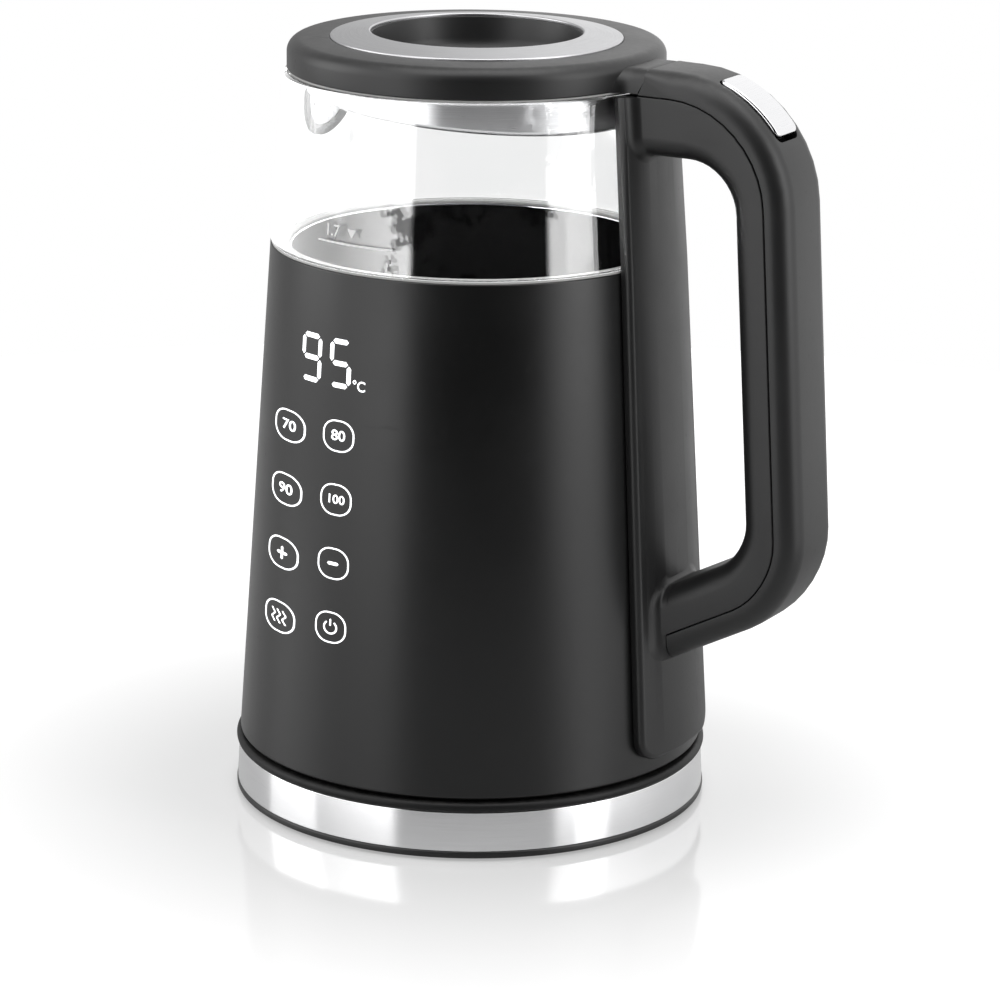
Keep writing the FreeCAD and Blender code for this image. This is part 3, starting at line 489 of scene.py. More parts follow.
class Effect:
    """Base of every effect that several finishes share.

    Attributes:
        name: Name of the node group.
        inputs: Named values with their defaults.
        outputs: Names of what comes out.
    """

    name: str
    inputs: dict[str, float]
    outputs: tuple[str, ...]

    def tree(self) -> bpy.types.NodeTree:
        """Gives the node group, made at its first use."""
        if self.name in bpy.data.node_groups:
            return bpy.data.node_groups[self.name]
        tree = bpy.data.node_groups.new(self.name, "ShaderNodeTree")
        for label, value in self.inputs.items():
            socket = tree.interface.new_socket(label, in_out="INPUT", socket_type="NodeSocketFloat")
            socket.default_value = value
        for label in self.outputs:
            tree.interface.new_socket(label, in_out="OUTPUT", socket_type="NodeSocketFloat")
        graph = Graph(tree)
        given = graph.add("NodeGroupInput")
        out = graph.add("NodeGroupOutput")
        graph.feed(out, self.draw(graph, given.outputs))
        return tree

    def draw(self, graph: Graph, given: Sockets) -> Inputs:
        """Draws the effect.

        Args:
            graph: Nodes of the group.
            given: Its inputs.

        Returns:
            What feeds each of its outputs.
        """
        raise NotImplementedError


class Moulding(Effect):
    """Fine spark texture of moulded plastic, with patches that are a little lighter."""

    name = "moulded_grain"
    inputs = {"Grain": 1800.0, "Patch": 18.0}
    outputs = ("Height", "Patch mask")
    finer = 1.7
    patch_span = (0.3, 0.7)

    def draw(self, graph: Graph, given: Sockets) -> Inputs:
        """Draws cells under a finer noise, and the patches."""
        where = graph.place()
        cells = graph.add("ShaderNodeTexVoronoi", {"Vector": where, "Scale": given["Grain"]},
                          feature="SMOOTH_F1")
        fine = graph.noise(where, graph.math("MULTIPLY", given["Grain"], self.finer), detail=2.0)
        patch = graph.noise(where, given["Patch"], detail=4.0, rough=0.6)
        return {"Height": graph.math("ADD", cells.outputs["Distance"], fine),
                "Patch mask": graph.mask(patch, *self.patch_span)}


class Handling(Effect):
    """Wipe marks and hairline scratches from use."""

    name = "handling_marks"
    inputs = {"Smear": 22.0, "Scratch": 60.0}
    outputs = ("Smear mask", "Scratch mask")
    scratch_way = (0.5, 0.7, 0.3)
    scratch_shape = (1.0, 14.0, 9.0)
    smear_span = (0.42, 0.72)
    scratch_span = (0.66, 0.74)

    def draw(self, graph: Graph, given: Sockets) -> Inputs:
        """Draws cloudy smears, and a noise stretched into scratches."""
        where = graph.place()
        smear = graph.noise(where, given["Smear"], detail=5.0, rough=0.65)
        streak = graph.add("ShaderNodeMapping", {"Vector": where, "Rotation": self.scratch_way,
                                                 "Scale": self.scratch_shape})
        lines = graph.noise(streak.outputs["Vector"], given["Scratch"], detail=2.0, rough=0.4)
        return {"Smear mask": graph.mask(smear, *self.smear_span),
                "Scratch mask": graph.mask(lines, *self.scratch_span)}


class Lathe(Effect):
    """Fine lines that turning and polishing leave round an axis."""

    name = "turned_lines"
    inputs = {"Lines": 9000.0, "Length": 6.0}
    outputs = ("Height", "Line mask")
    line_span = (0.35, 0.65)

    def draw(self, graph: Graph, given: Sockets) -> Inputs:
        """Draws a noise that is fine across the lines and long round the axis."""
        parts = graph.split(graph.place())
        angle = graph.math("ARCTAN2", parts["Y"], parts["X"])
        square = graph.math("ADD", graph.math("POWER", parts["X"], 2.0), graph.math("POWER", parts["Y"], 2.0))
        across = graph.math("MULTIPLY", graph.math("SQRT", square), given["Lines"])
        upward = graph.math("MULTIPLY", parts["Z"], given["Lines"])
        round_axis = graph.math("MULTIPLY", graph.math("SINE", angle), given["Length"])
        where = graph.add("ShaderNodeCombineXYZ", {"X": across, "Y": upward, "Z": round_axis})
        lines = graph.noise(where.outputs["Vector"], 1.0, rough=0.6)
        return {"Height": lines, "Line mask": graph.mask(lines, *self.line_span)}


class Dust(Effect):
    """Thin dust that settles on faces that look up."""

    name = "settled_dust"
    inputs = {"Speck": 350.0, "Amount": 0.5}
    outputs = ("Dust mask",)
    speck_span = (0.45, 0.8)
    level_span = (0.6, 1.0)

    def draw(self, graph: Graph, given: Sockets) -> Inputs:
        """Draws specks and keeps those on level faces."""
        normal = graph.split(graph.add("ShaderNodeNewGeometry").outputs["Normal"])
        cloud = graph.noise(graph.place(), given["Speck"], detail=6.0, rough=0.7)
        specks = graph.mask(cloud, *self.speck_span)
        level = graph.math("MULTIPLY", graph.mask(normal["Z"], *self.level_span), specks)
        return {"Dust mask": graph.math("MULTIPLY", level, given["Amount"])}


@dataclass(frozen=True)
class Finish:
    """Base of every finish.

    Attributes:
        name: Name of the material.
        colour: Main colour.
        worn: Colour of the lighter patches.
        rough: Main roughness.
    """

    name: str
    colour: Colour
    worn: Colour
    rough: float

    def material(self) -> bpy.types.Material:
        """Gives the finish's material, made at its first use."""
        if self.name in bpy.data.materials:
            return bpy.data.materials[self.name]
        made = bpy.data.materials.new(self.name)
        made.use_nodes = True
        made.node_tree.nodes.clear()
        made.diffuse_color = (*self.colour, 1.0)
        graph = Graph(made.node_tree)
        shader = graph.add("ShaderNodeBsdfPrincipled")
        out = graph.add("ShaderNodeOutputMaterial", {"Surface": shader.outputs["BSDF"]})
        self.paint(graph, shader, out)
        return made

    def paint(self, graph: Graph, shader: Node, out: Node) -> None:
        """Links the finish's textures to its shader.

        Args:
            graph: The material's nodes.
            shader: The surface shader.
            out: The material's output.
        """
        raise NotImplementedError


@dataclass(frozen=True)
class Plastic(Finish):
    """Moulded plastic with a fine spark texture, wipe marks and a trace of dust."""

    grain: float = 1800.0
    relief: float = 0.02
    shine: float = 0.5
    settled: float = 0.1
    wiped: float = 0.86
    scratched: float = 0.05
    sharpness: float = 0.25
    dust: Colour = (0.32, 0.31, 0.29)

    def paint(self, graph: Graph, shader: Node, out: Node) -> None:
        """Links grain, wipe marks and dust."""
        skin = graph.effect(Moulding(), Grain=self.grain)
        marks = graph.effect(Handling())
        film = graph.effect(Dust(), Amount=self.settled)
        tone = graph.blend(skin["Patch mask"], self.colour, self.worn)
        wiped = graph.span(marks["Smear mask"], self.rough, self.rough * self.wiped)
        scratched = graph.math("MULTIPLY", marks["Scratch mask"], self.scratched)
        graph.feed(shader, {"Base Color": graph.blend(film["Dust mask"], tone, self.dust),
                            "Roughness": graph.math("ADD", wiped, scratched),
                            "Specular IOR Level": self.shine,
                            "Normal": graph.bump(skin["Height"], self.sharpness, self.relief)})


@dataclass(frozen=True)
class Metal(Finish):
    """Turned and polished metal with fine lines round its axis and faint wipe marks."""

    lines: float = 9000.0
    relief: float = 0.004
    spread: float = 0.06
    smear: float = 30.0
    smeared: float = 0.7
    sharpness: float = 0.2

    def paint(self, graph: Graph, shader: Node, out: Node) -> None:
        """Links turned lines and wipe marks."""
        turned = graph.effect(Lathe(), Lines=self.lines)
        marks = graph.effect(Handling(), Smear=self.smear)
        lined = graph.span(turned["Line mask"], self.rough, self.rough + self.spread)
        smeared = graph.math("MULTIPLY", marks["Smear mask"], self.spread * self.smeared)
        graph.feed(shader, {"Base Color": graph.blend(turned["Line mask"], self.colour, self.worn),
                            "Metallic": 1.0,
                            "Roughness": graph.math("ADD", lined, smeared),
                            "Normal": graph.bump(turned["Height"], self.sharpness, self.relief)})


@dataclass(frozen=True)
class Glass(Finish):
    """Clear drawn glass with faint wipe marks."""

    bend: float = 1.45
    smear: float = 26.0
    smeared: float = 0.008

    def paint(self, graph: Graph, shader: Node, out: Node) -> None:
        """Links wipe marks, and lets light through where the glass casts a shadow."""
        marks = graph.effect(Handling(), Smear=self.smear)["Smear mask"]
        graph.feed(shader, {"Transmission Weight": 1.0, "IOR": self.bend,
                            "Base Color": graph.blend(marks, self.colour, self.worn),
                            "Roughness": graph.span(marks, self.rough, self.rough + self.smeared)})
        clear = graph.add("ShaderNodeBsdfTransparent").outputs["BSDF"]
        shadow = graph.add("ShaderNodeLightPath").outputs["Is Shadow Ray"]
        mixed = graph.add("ShaderNodeMixShader", {"Fac": shadow, 1: shader.outputs["BSDF"], 2: clear})
        graph.feed(out, {"Surface": mixed.outputs["Shader"]})


@dataclass(frozen=True)
class Rubber(Finish):
    """Soft matt rubber or silicone with a dusty bloom."""

    grain: float = 900.0
    patch: float = 60.0
    bloom: float = 0.1
    sharpness: float = 0.2
    relief: float = 0.03

    def paint(self, graph: Graph, shader: Node, out: Node) -> None:
        """Links grain and bloom."""
        skin = graph.effect(Moulding(), Grain=self.grain, Patch=self.patch)
        graph.feed(shader, {"Base Color": graph.blend(skin["Patch mask"], self.colour, self.worn),
                            "Roughness": graph.span(skin["Patch mask"], self.rough, self.rough + self.bloom),
                            "Normal": graph.bump(skin["Height"], self.sharpness, self.relief)})


@dataclass(frozen=True)
class Glow(Finish):
    """White light through small windows of the panel, a little uneven; also a painted glow on a print."""

    strength: float = 1.6
    cloud: float = 300.0
    cloud_span: tuple[float, float] = (0.3, 0.7)
    uneven: float = 0.1

    def paint(self, graph: Graph, shader: Node, out: Node) -> None:
        """Links a soft unevenness to the light."""
        cloud = graph.mask(graph.noise(graph.place(), self.cloud), *self.cloud_span)
        tone = graph.blend(cloud, self.worn, self.colour)
        graph.feed(shader, {"Base Color": tone, "Emission Color": tone, "Emission Strength": self.strength,
                            "Roughness": graph.span(cloud, self.rough, self.rough + self.uneven)})


class Finishes:
    """Every finish of the kettle."""

    jacket = Plastic("jacket_black", (0.004, 0.004, 0.0042), (0.006, 0.006, 0.0062), 0.34, grain=2200.0,
                     relief=0.012)
    black = Plastic("moulded_black", (0.01, 0.01, 0.0103), (0.015, 0.015, 0.0154), 0.42)
    rim = Plastic("rim_black", (0.006, 0.006, 0.0062), (0.009, 0.009, 0.0092), 0.5, shine=0.25)
    dark = Plastic("inner_black", (0.03, 0.03, 0.031), (0.045, 0.045, 0.046), 0.5)
    frame_grey = Plastic("filter_grey", (0.11, 0.11, 0.115), (0.14, 0.14, 0.145), 0.45)
    board = Plastic("board_green", (0.02, 0.09, 0.04), (0.03, 0.12, 0.05), 0.35)
    ceramic = Plastic("cutout_cream", (0.72, 0.68, 0.58), (0.62, 0.58, 0.48), 0.4)
    band = Metal("polished_band", (0.93, 0.93, 0.94), (0.86, 0.86, 0.87), 0.1)
    satin = Metal("satin_ring", (0.57, 0.57, 0.58), (0.49, 0.49, 0.5), 0.3, lines=14000.0, relief=0.006,
                  spread=0.1)
    chrome = Metal("polished_button", (0.8, 0.8, 0.81), (0.74, 0.74, 0.75), 0.07)
    pot = Metal("drawn_pot", (0.45, 0.45, 0.46), (0.38, 0.38, 0.39), 0.08, lines=5000.0, relief=0.006,
                spread=0.05)
    liner = Metal("drawn_liner", (0.6, 0.6, 0.61), (0.52, 0.52, 0.53), 0.26, lines=5000.0, relief=0.006)
    steel = Metal("plain_steel", (0.55, 0.55, 0.56), (0.45, 0.45, 0.46), 0.28)
    brass = Metal("brass_contacts", (0.72, 0.5, 0.2), (0.6, 0.4, 0.16), 0.25)
    heater = Metal("heater_alloy", (0.65, 0.65, 0.66), (0.5, 0.5, 0.5), 0.35)
    glass = Glass("crown_glass", (1.0, 1.0, 1.0), (0.985, 0.99, 0.99), 0.0)
    silicone = Rubber("pale_silicone", (0.62, 0.62, 0.61), (0.7, 0.7, 0.69), 0.5)
    rubber = Rubber("foot_rubber", (0.02, 0.02, 0.02), (0.035, 0.035, 0.035), 0.7)
    glow = Glow("panel_light", (1.0, 1.0, 1.0), (0.9, 0.93, 0.97), 0.4)
    # painted glow: the printed level mark gives off faint light, though a print is no lamp
    print_with_painted_glow = Glow("print_painted_glow", (0.95, 0.95, 0.95), (0.85, 0.85, 0.85), 0.5, strength=0.25)


def make(bm: Mesh, name: str, finish: Finish, body: Body, slot: str, *nodes: str) -> None:
    """Makes a finished piece from a mesh.

    Args:
        bm: The mesh, in place. It is freed.
        name: Name of the piece.
        finish: Its finish.
        body: Body that it moves with.
        slot: Slot of the record for the piece; not used.
        nodes: Nodes of the frame that it stands for.
    """
    shade(bm)
    thing = shown(bm, name)
    thing.data.materials.append(finish.material())
    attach(thing, body.value)
    if nodes:
        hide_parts(*nodes)
    log.info("%s: %d faces on %s", name, len(thing.data.polygons), body.value)


def dress(node: str, finish: Finish) -> None:
    """Gives a node of the frame its finish."""
    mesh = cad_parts[node].data
    mesh.materials.clear()
    mesh.materials.append(finish.material())
    log.info("%s: dressed", node)


def on_round(radius: float, azimuth: float, height: float) -> Vector:
    """Point on a round wall, from millimetres and radians, in metres."""
    return Vector((radius * math.cos(azimuth), radius * math.sin(azimuth), height)) * MM


def top_of(node: str) -> float:
    """Height of a node's highest point, in millimetres."""
    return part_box(node)[1].z / MM


def bottom_of(node: str) -> float:
    """Height of a node's lowest point, in millimetres."""
    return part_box(node)[0].z / MM


def reach_of(node: str) -> float:
    """Largest distance of a round node from the jug's axis, in millimetres."""
    low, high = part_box(node)
    return max(-low.y, high.y) / MM


@dataclass
class CrossHead:
    """Screw head that faces down, with a cross recess."""

    radius: float
    height: float = 1.1
    edge: float = 0.3
    arm_share: float = 0.6
    arm_half: float = 0.35
    depth: float = 0.7

    def mesh(self, x: float, y: float, low: float) -> Mesh:
        """Makes the head with its lower face at a place."""
        head = drum(x, y, low, low + self.height, self.radius, self.edge)
        arm = self.radius * self.arm_share
        for wide, deep in ((arm, self.arm_half), (self.arm_half, arm)):
            bar = box_mesh((x - wide, y - deep, low - OVERCUT), (x + wide, y + deep, low + self.depth))
            head = combined(head, bar, Join.CUT)
        return head


@dataclass
class PowerBase:
    """Round base: foot rim, steel band, top rim with its sunk seat, and the connector turret.

    Attributes:
        rim_flat: Half of the flat between the top rim's two roundings.
        band_top_radius: Radius of the band at its top.
        fit_gap: Gap between pieces that are put together.
        flange_drop: Depth of the flange under the seat.
        groove: Inner and outer radius of the turret's groove.
        pin_bore: Radius of the turret's middle bore.
        lining_wall: Thickness of the brass linings with their gap.
        lining_drops: Depth of the linings' tops in the groove and in the bore.
        shutter_gaps: Gaps of the shutter ring inside and outside.
        gland_radii: Radii of the gland's bore, neck and flange.
    """

    wall: float = 2.3
    rim_round: float = 0.75
    rim_flat: float = 0.05
    band_top_radius: float = 74.1
    band_wall: float = 0.8
    band_edge: float = 0.2
    seat_radius: float = 66.5
    seat_depth: float = 1.2
    seat_edge: float = 0.4
    seat_corner: float = 0.3
    fit_gap: float = 0.3
    turret_radius: float = 17.5
    turret_round: float = 2.5
    turret_edge: float = 0.4
    turret_steps: int = 128
    flange_radius: float = 24.0
    flange_drop: float = 2.4
    groove: tuple[float, float] = (8.0, 11.6)
    groove_depth: float = 14.0
    pin_bore: float = 3.4
    pin_bore_depth: float = 17.0
    lining_wall: float = 0.6
    lining_gap: float = 0.05
    lining_edge: float = 0.1
    lining_drops: tuple[float, float] = (2.5, 5.0)
    shutter_gaps: tuple[float, float] = (0.3, 0.85)
    shutter_edge: float = 0.2
    foot_circle: float = 56.0
    foot_radius: float = 6.0
    foot_edge: float = 0.5
    foot_gap: float = 0.1
    screw_circle: float = 44.0
    screw_start: float = 45.0
    screw_radius: float = 3.1
    gland_radii: tuple[float, float, float] = (3.2, 4.0, 5.6)
    gland_flange: float = 1.4
    gland_rounds: tuple[float, ...] = (0.2, 0.3, 0.2, 0.5, 0.4)
    gland_steps: int = 64

    def __post_init__(self) -> None:
        """Reads the heights from the frame."""
        self.low = bottom_of("base_bottom_cover")
        self.band_low = bottom_of("base_steel_band")
        self.band_high = top_of("base_steel_band")
        self.high = top_of("base_top_cover")
        self.radius = reach_of("base_bottom_cover")
        self.foot_top = top_of("base_rubber_feet")
        self.feet = self.spots(self.foot_circle, 0.0)
        self.screws = self.spots(self.screw_circle, self.screw_start)

    def spots(self, circle: float, start: float) -> list[tuple[float, float]]:
        """Gives four places on a circle."""
        angles = [math.radians(start + 90.0 * index) for index in range(4)]
        return [(circle * math.cos(angle), circle * math.sin(angle)) for angle in angles]

    def build_foot(self) -> None:
        """Makes the foot rim with recesses for the rubber feet and the screws."""
        foot = turn([Corner(0, self.low), Corner(self.radius, self.low, self.rim_round),
                     Corner(self.radius, self.band_low, self.rim_round), Corner(0, self.band_low)])
        under = self.low - OVERCUT
        recesses = [drum(x, y, under, self.foot_top, self.foot_radius + self.foot_gap) for x, y in self.feet]
        recesses += [drum(x, y, under, self.low + self.wall / 2, self.screw_radius + self.fit_gap)
                     for x, y in self.screws]
        foot = combined(foot, joined(recesses), Join.CUT)
        make(foot, "foot_rim", Finishes.black, Body.BASE, "black_plastic", "base_bottom_cover")

    def build_rims(self) -> None:
        """Makes the steel band and the top rim with its seat."""
        low_radius = reach_of("base_steel_band")
        inner_high = self.band_top_radius - self.band_wall
        band = turn([Corner(low_radius - self.band_wall, self.band_low),
                     Corner(low_radius, self.band_low, self.band_edge),
                     Corner(self.band_top_radius, self.band_high, self.band_edge),
                     Corner(inner_high, self.band_high)])
        make(band, "steel_band", Finishes.band, Body.BASE, "polished_steel", "base_steel_band")
        bulge = (self.high - self.band_high) / 2 - self.rim_flat
        skirt = inner_high - self.fit_gap
        floor = self.high - self.seat_depth
        opening = self.turret_radius + self.fit_gap
        top = turn([Corner(opening, floor - self.wall), Corner(skirt - self.wall, floor - self.wall),
                    Corner(skirt - self.wall, self.band_low), Corner(skirt, self.band_low),
                    Corner(skirt, self.band_high), Corner(self.radius, self.band_high, bulge),
                    Corner(self.radius, self.high, bulge),
                    Corner(self.seat_radius, self.high, self.seat_edge),
                    Corner(self.seat_radius, floor, self.seat_corner), Corner(opening, floor)])
        make(top, "top_rim", Finishes.rim, Body.BASE, "black_plastic", "base_top_cover")

    def lining(self, radius: float, low: float, high: float) -> Mesh:
        """Makes a brass lining inside a bore."""
        return ring(radius - self.lining_wall, radius - self.lining_gap, low + self.lining_gap, high,
                    self.lining_edge)

    def build_connector(self) -> None:
        """Makes the turret with its groove, bore and brass linings, and the loose shutter ring."""
        low, high = bottom_of("base_connector"), top_of("base_connector")
        shelf = self.high - self.seat_depth - self.flange_drop
        groove_floor = high - self.groove_depth
        bore_floor = high - self.pin_bore_depth
        inner, outer = self.groove
        turret = turn([Corner(0, low), Corner(self.flange_radius, low), Corner(self.flange_radius, shelf),
                       Corner(self.turret_radius, shelf), Corner(self.turret_radius, high, self.turret_round),
                       Corner(outer, high, self.turret_edge), Corner(outer, groove_floor),
                       Corner(inner, groove_floor), Corner(inner, high, self.turret_edge),
                       Corner(self.pin_bore, high, self.turret_edge), Corner(self.pin_bore, bore_floor),
                       Corner(0, bore_floor)], self.turret_steps)
        make(turret, "turret", Finishes.dark, Body.BASE, "connector_plastic", "base_connector")
        groove_drop, bore_drop = self.lining_drops
        linings = joined([self.lining(outer, groove_floor, high - groove_drop),
                          self.lining(self.pin_bore, bore_floor, high - bore_drop)])
        make(linings, "turret_linings", Finishes.brass, Body.BASE, "contact_brass", "contact_sleeves")
        inner_gap, outer_gap = self.shutter_gaps
        shutter = ring(inner + inner_gap, outer - outer_gap, bottom_of("connector_shutter"),
                       top_of("connector_shutter"), self.shutter_edge)
        make(shutter, "shutter_ring", Finishes.dark, Body.SWIVEL, "connector_plastic", "connector_shutter")

    def build_underside(self) -> None:
        """Makes the rubber feet and the screws."""
        low = bottom_of("base_rubber_feet")
        feet = joined(drum(x, y, low, self.foot_top, self.foot_radius, self.foot_edge) for x, y in self.feet)
        make(feet, "rubber_feet", Finishes.rubber, Body.BASE, "black_rubber", "base_rubber_feet")
        head = CrossHead(self.screw_radius)
        heads = joined(head.mesh(x, y, bottom_of("base_screws")) for x, y in self.screws)
        make(heads, "base_screw_heads", Finishes.steel, Body.BASE, "satin_steel", "base_screws")

    def build_gland(self) -> None:
        """Makes the cord gland, turned upright and then laid along Y."""
        low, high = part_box("cord_gland")
        length = (high.y - low.y) / MM
        bore, neck, flange = self.gland_radii
        face = length - self.gland_flange
        fine, soft, back, front, mouth = self.gland_rounds
        bush = turn([Corner(bore, 0, fine), Corner(neck, 0, soft), Corner(neck, face),
                     Corner(flange, face, back), Corner(flange, length, front), Corner(bore, length, mouth)],
                    self.gland_steps)
        swing(bush, -90, "X")
        shift(bush, (0, low.y, (low.z + high.z) / 2))
        make(bush, "gland", Finishes.rubber, Body.BASE, "black_rubber", "cord_gland")

    def build(self) -> None:
        """Makes every piece of the base."""
        self.build_foot()
        self.build_rims()
        self.build_connector()
        self.build_underside()
        self.build_gland()


@dataclass
class Jug:
    """Tapered jacket, steel pot inside, glass crown with its pouring lip, and the seal between.

    Attributes:
        lip_drop: Height of the lip's bulge.
        lip_root: Radius at the foot of the bulge.
        lip_soft: Softness of the change from the wall to the bulge.
        lip_clear: Distance from the bulge at which the wall is round again.
    """

    low_radius: float = 73.8
    high_radius: float = 63.6
    wall: float = 2.5
    foot_round: float = 1.2
    rim_round: float = 0.4
    pot_gap: float = 6.0
    pot_wall: float = 0.8
    pot_corner: float = 7.0
    pot_edge: float = 0.5
    flange_gap: float = 0.15
    seal_width: float = 5.7
    seal_edge: float = 0.2
    glass_low_radius: float = 63.4
    glass_high_radius: float = 59.3
    glass_wall: float = 3.0
    glass_round: float = 0.9
    glass_foot_round: float = 0.3
    glass_steps: int = 360
    glass_cuts: int = 36
    lip_reach: float = 66.5
    lip_radius: float = 12.0
    lip_drop: float = 25.4
    lip_root: float = 3.5
    lip_soft: float = 1.2
    lip_clear: float = 10.0

    def __post_init__(self) -> None:
        """Reads the heights from the frame."""
        self.low = bottom_of("outer_jacket")
        self.high = top_of("outer_jacket")
        self.glass_low = bottom_of("glass_wall")
        self.glass_high = top_of("glass_wall")
        self.floor = bottom_of("inner_pot") + self.pot_wall
        self.lip_root_inside = self.lip_root / 3

    def radius_at(self, height: float) -> float:
        """Outer radius of the jacket at a height."""
        taper = (self.high_radius - self.low_radius) * (height - self.low) / (self.high - self.low)
        return self.low_radius + taper

    def glass_at(self, height: float) -> float:
        """Outer radius of the glass at a height, away from the lip."""
        share = (height - self.glass_low) / (self.glass_high - self.glass_low)
        return self.glass_low_radius + (self.glass_high_radius - self.glass_low_radius) * share

    def lip_at(self, height: float, azimuth: float, inset: float) -> float:
        """Works out the lip's bulge.

        Args:
            height: Height on the glass.
            azimuth: Side of the jug, in radians.
            inset: Distance under the glass's outside.

        Returns:
            Radius of the bulge there.
        """
        drop = self.lip_drop - inset
        root_height = self.glass_high - drop
        share = max(0.0, (height - root_height) / drop)
        root_out = self.glass_at(root_height) - self.glass_wall - self.lip_root_inside
        root_radius = self.lip_root if inset == 0.0 else self.lip_root_inside
        middle = root_out + (self.lip_reach - self.lip_radius - root_out) * share
        bulge = root_radius + (self.lip_radius - inset - root_radius) * share
        off = math.pi - abs(azimuth)
        side = bulge ** 2 - (middle * math.sin(off)) ** 2
        return middle * math.cos(off) + math.copysign(math.sqrt(abs(side)), side)

    def build_glass(self) -> None:
        """Makes the glass crown and pulls the pouring lip out of its rim."""
        inner = self.glass_wall
        crown = turn([Corner(self.glass_low_radius - inner, self.glass_low, self.glass_foot_round),
                      Corner(self.glass_low_radius, self.glass_low, self.glass_foot_round),
                      Corner(self.glass_high_radius, self.glass_high, self.glass_round),
                      Corner(self.glass_high_radius - inner, self.glass_high, self.glass_round)],
                     self.glass_steps, self.glass_cuts)
        rest = self.lip_soft ** 2 / (4 * self.lip_clear)
        for vert in crown.verts:
            height = vert.co.z / MM
            radius = math.hypot(vert.co.x, vert.co.y) / MM
            azimuth = math.atan2(vert.co.y, vert.co.x)
            inset = min(max(self.glass_at(height) - radius, 0.0), inner)
            bulge = self.lip_at(height, azimuth, inset)
            pulled = (radius + bulge + math.hypot(radius - bulge, self.lip_soft)) / 2 - rest
            if abs(azimuth) > math.pi / 2 and pulled > radius:
                vert.co.x *= pulled / radius
                vert.co.y *= pulled / radius
        make(crown, "glass_crown", Finishes.glass, Body.KETTLE, "clear_glass", "glass_wall")

    def build_walls(self) -> None:
        """Makes the jacket, the pot and the seal ring."""
        inner_high = self.high_radius - self.wall
        jacket = turn([Corner(self.low_radius - self.wall, self.low),
                       Corner(self.low_radius, self.low, self.foot_round),
                       Corner(self.high_radius, self.high, self.rim_round), Corner(inner_high, self.high)])
        make(jacket, "jacket", Finishes.jacket, Body.KETTLE, "black_plastic", "outer_jacket")
        thick = self.pot_wall
        under = self.floor - thick
        flange = inner_high - self.flange_gap
        foot = self.radius_at(self.floor) - self.pot_gap
        mouth = self.radius_at(self.high) - self.pot_gap
        pot = turn([Corner(0, under), Corner(foot, under, self.pot_corner), Corner(mouth, self.high - thick),
                    Corner(flange, self.high - thick), Corner(flange, self.high),
                    Corner(mouth - thick, self.high, self.pot_edge),
                    Corner(foot - thick, self.floor, self.pot_corner - thick), Corner(0, self.floor)])
        make(pot, "pot", Finishes.pot, Body.KETTLE, "satin_steel", "inner_pot")
        outer = reach_of("glass_seal")
        seal = ring(outer - self.seal_width, outer, bottom_of("glass_seal"), top_of("glass_seal"),
                    self.seal_edge)
        make(seal, "seal_ring", Finishes.silicone, Body.KETTLE, "grey_silicone", "glass_seal")

    def build(self) -> None:
        """Makes the jug and dresses the pieces inside it."""
        self.build_walls()
        self.build_glass()
        inside = {"bottom_cover": Finishes.black, "bottom_screws": Finishes.steel,
                  "socket_connector": Finishes.dark, "socket_contacts": Finishes.brass,
                  "heating_plate": Finishes.heater, "heating_element": Finishes.heater,
                  "thermal_cutouts": Finishes.ceramic, "temperature_probe": Finishes.heater,
                  "power_board": Finishes.board, "touch_board": Finishes.board,
                  "display_module": Finishes.dark, "spout_filter_frame": Finishes.frame_grey,
                  "spout_filter_mesh": Finishes.steel, "handle_screws": Finishes.steel}
        for node, finish in inside.items():
            dress(node, finish)


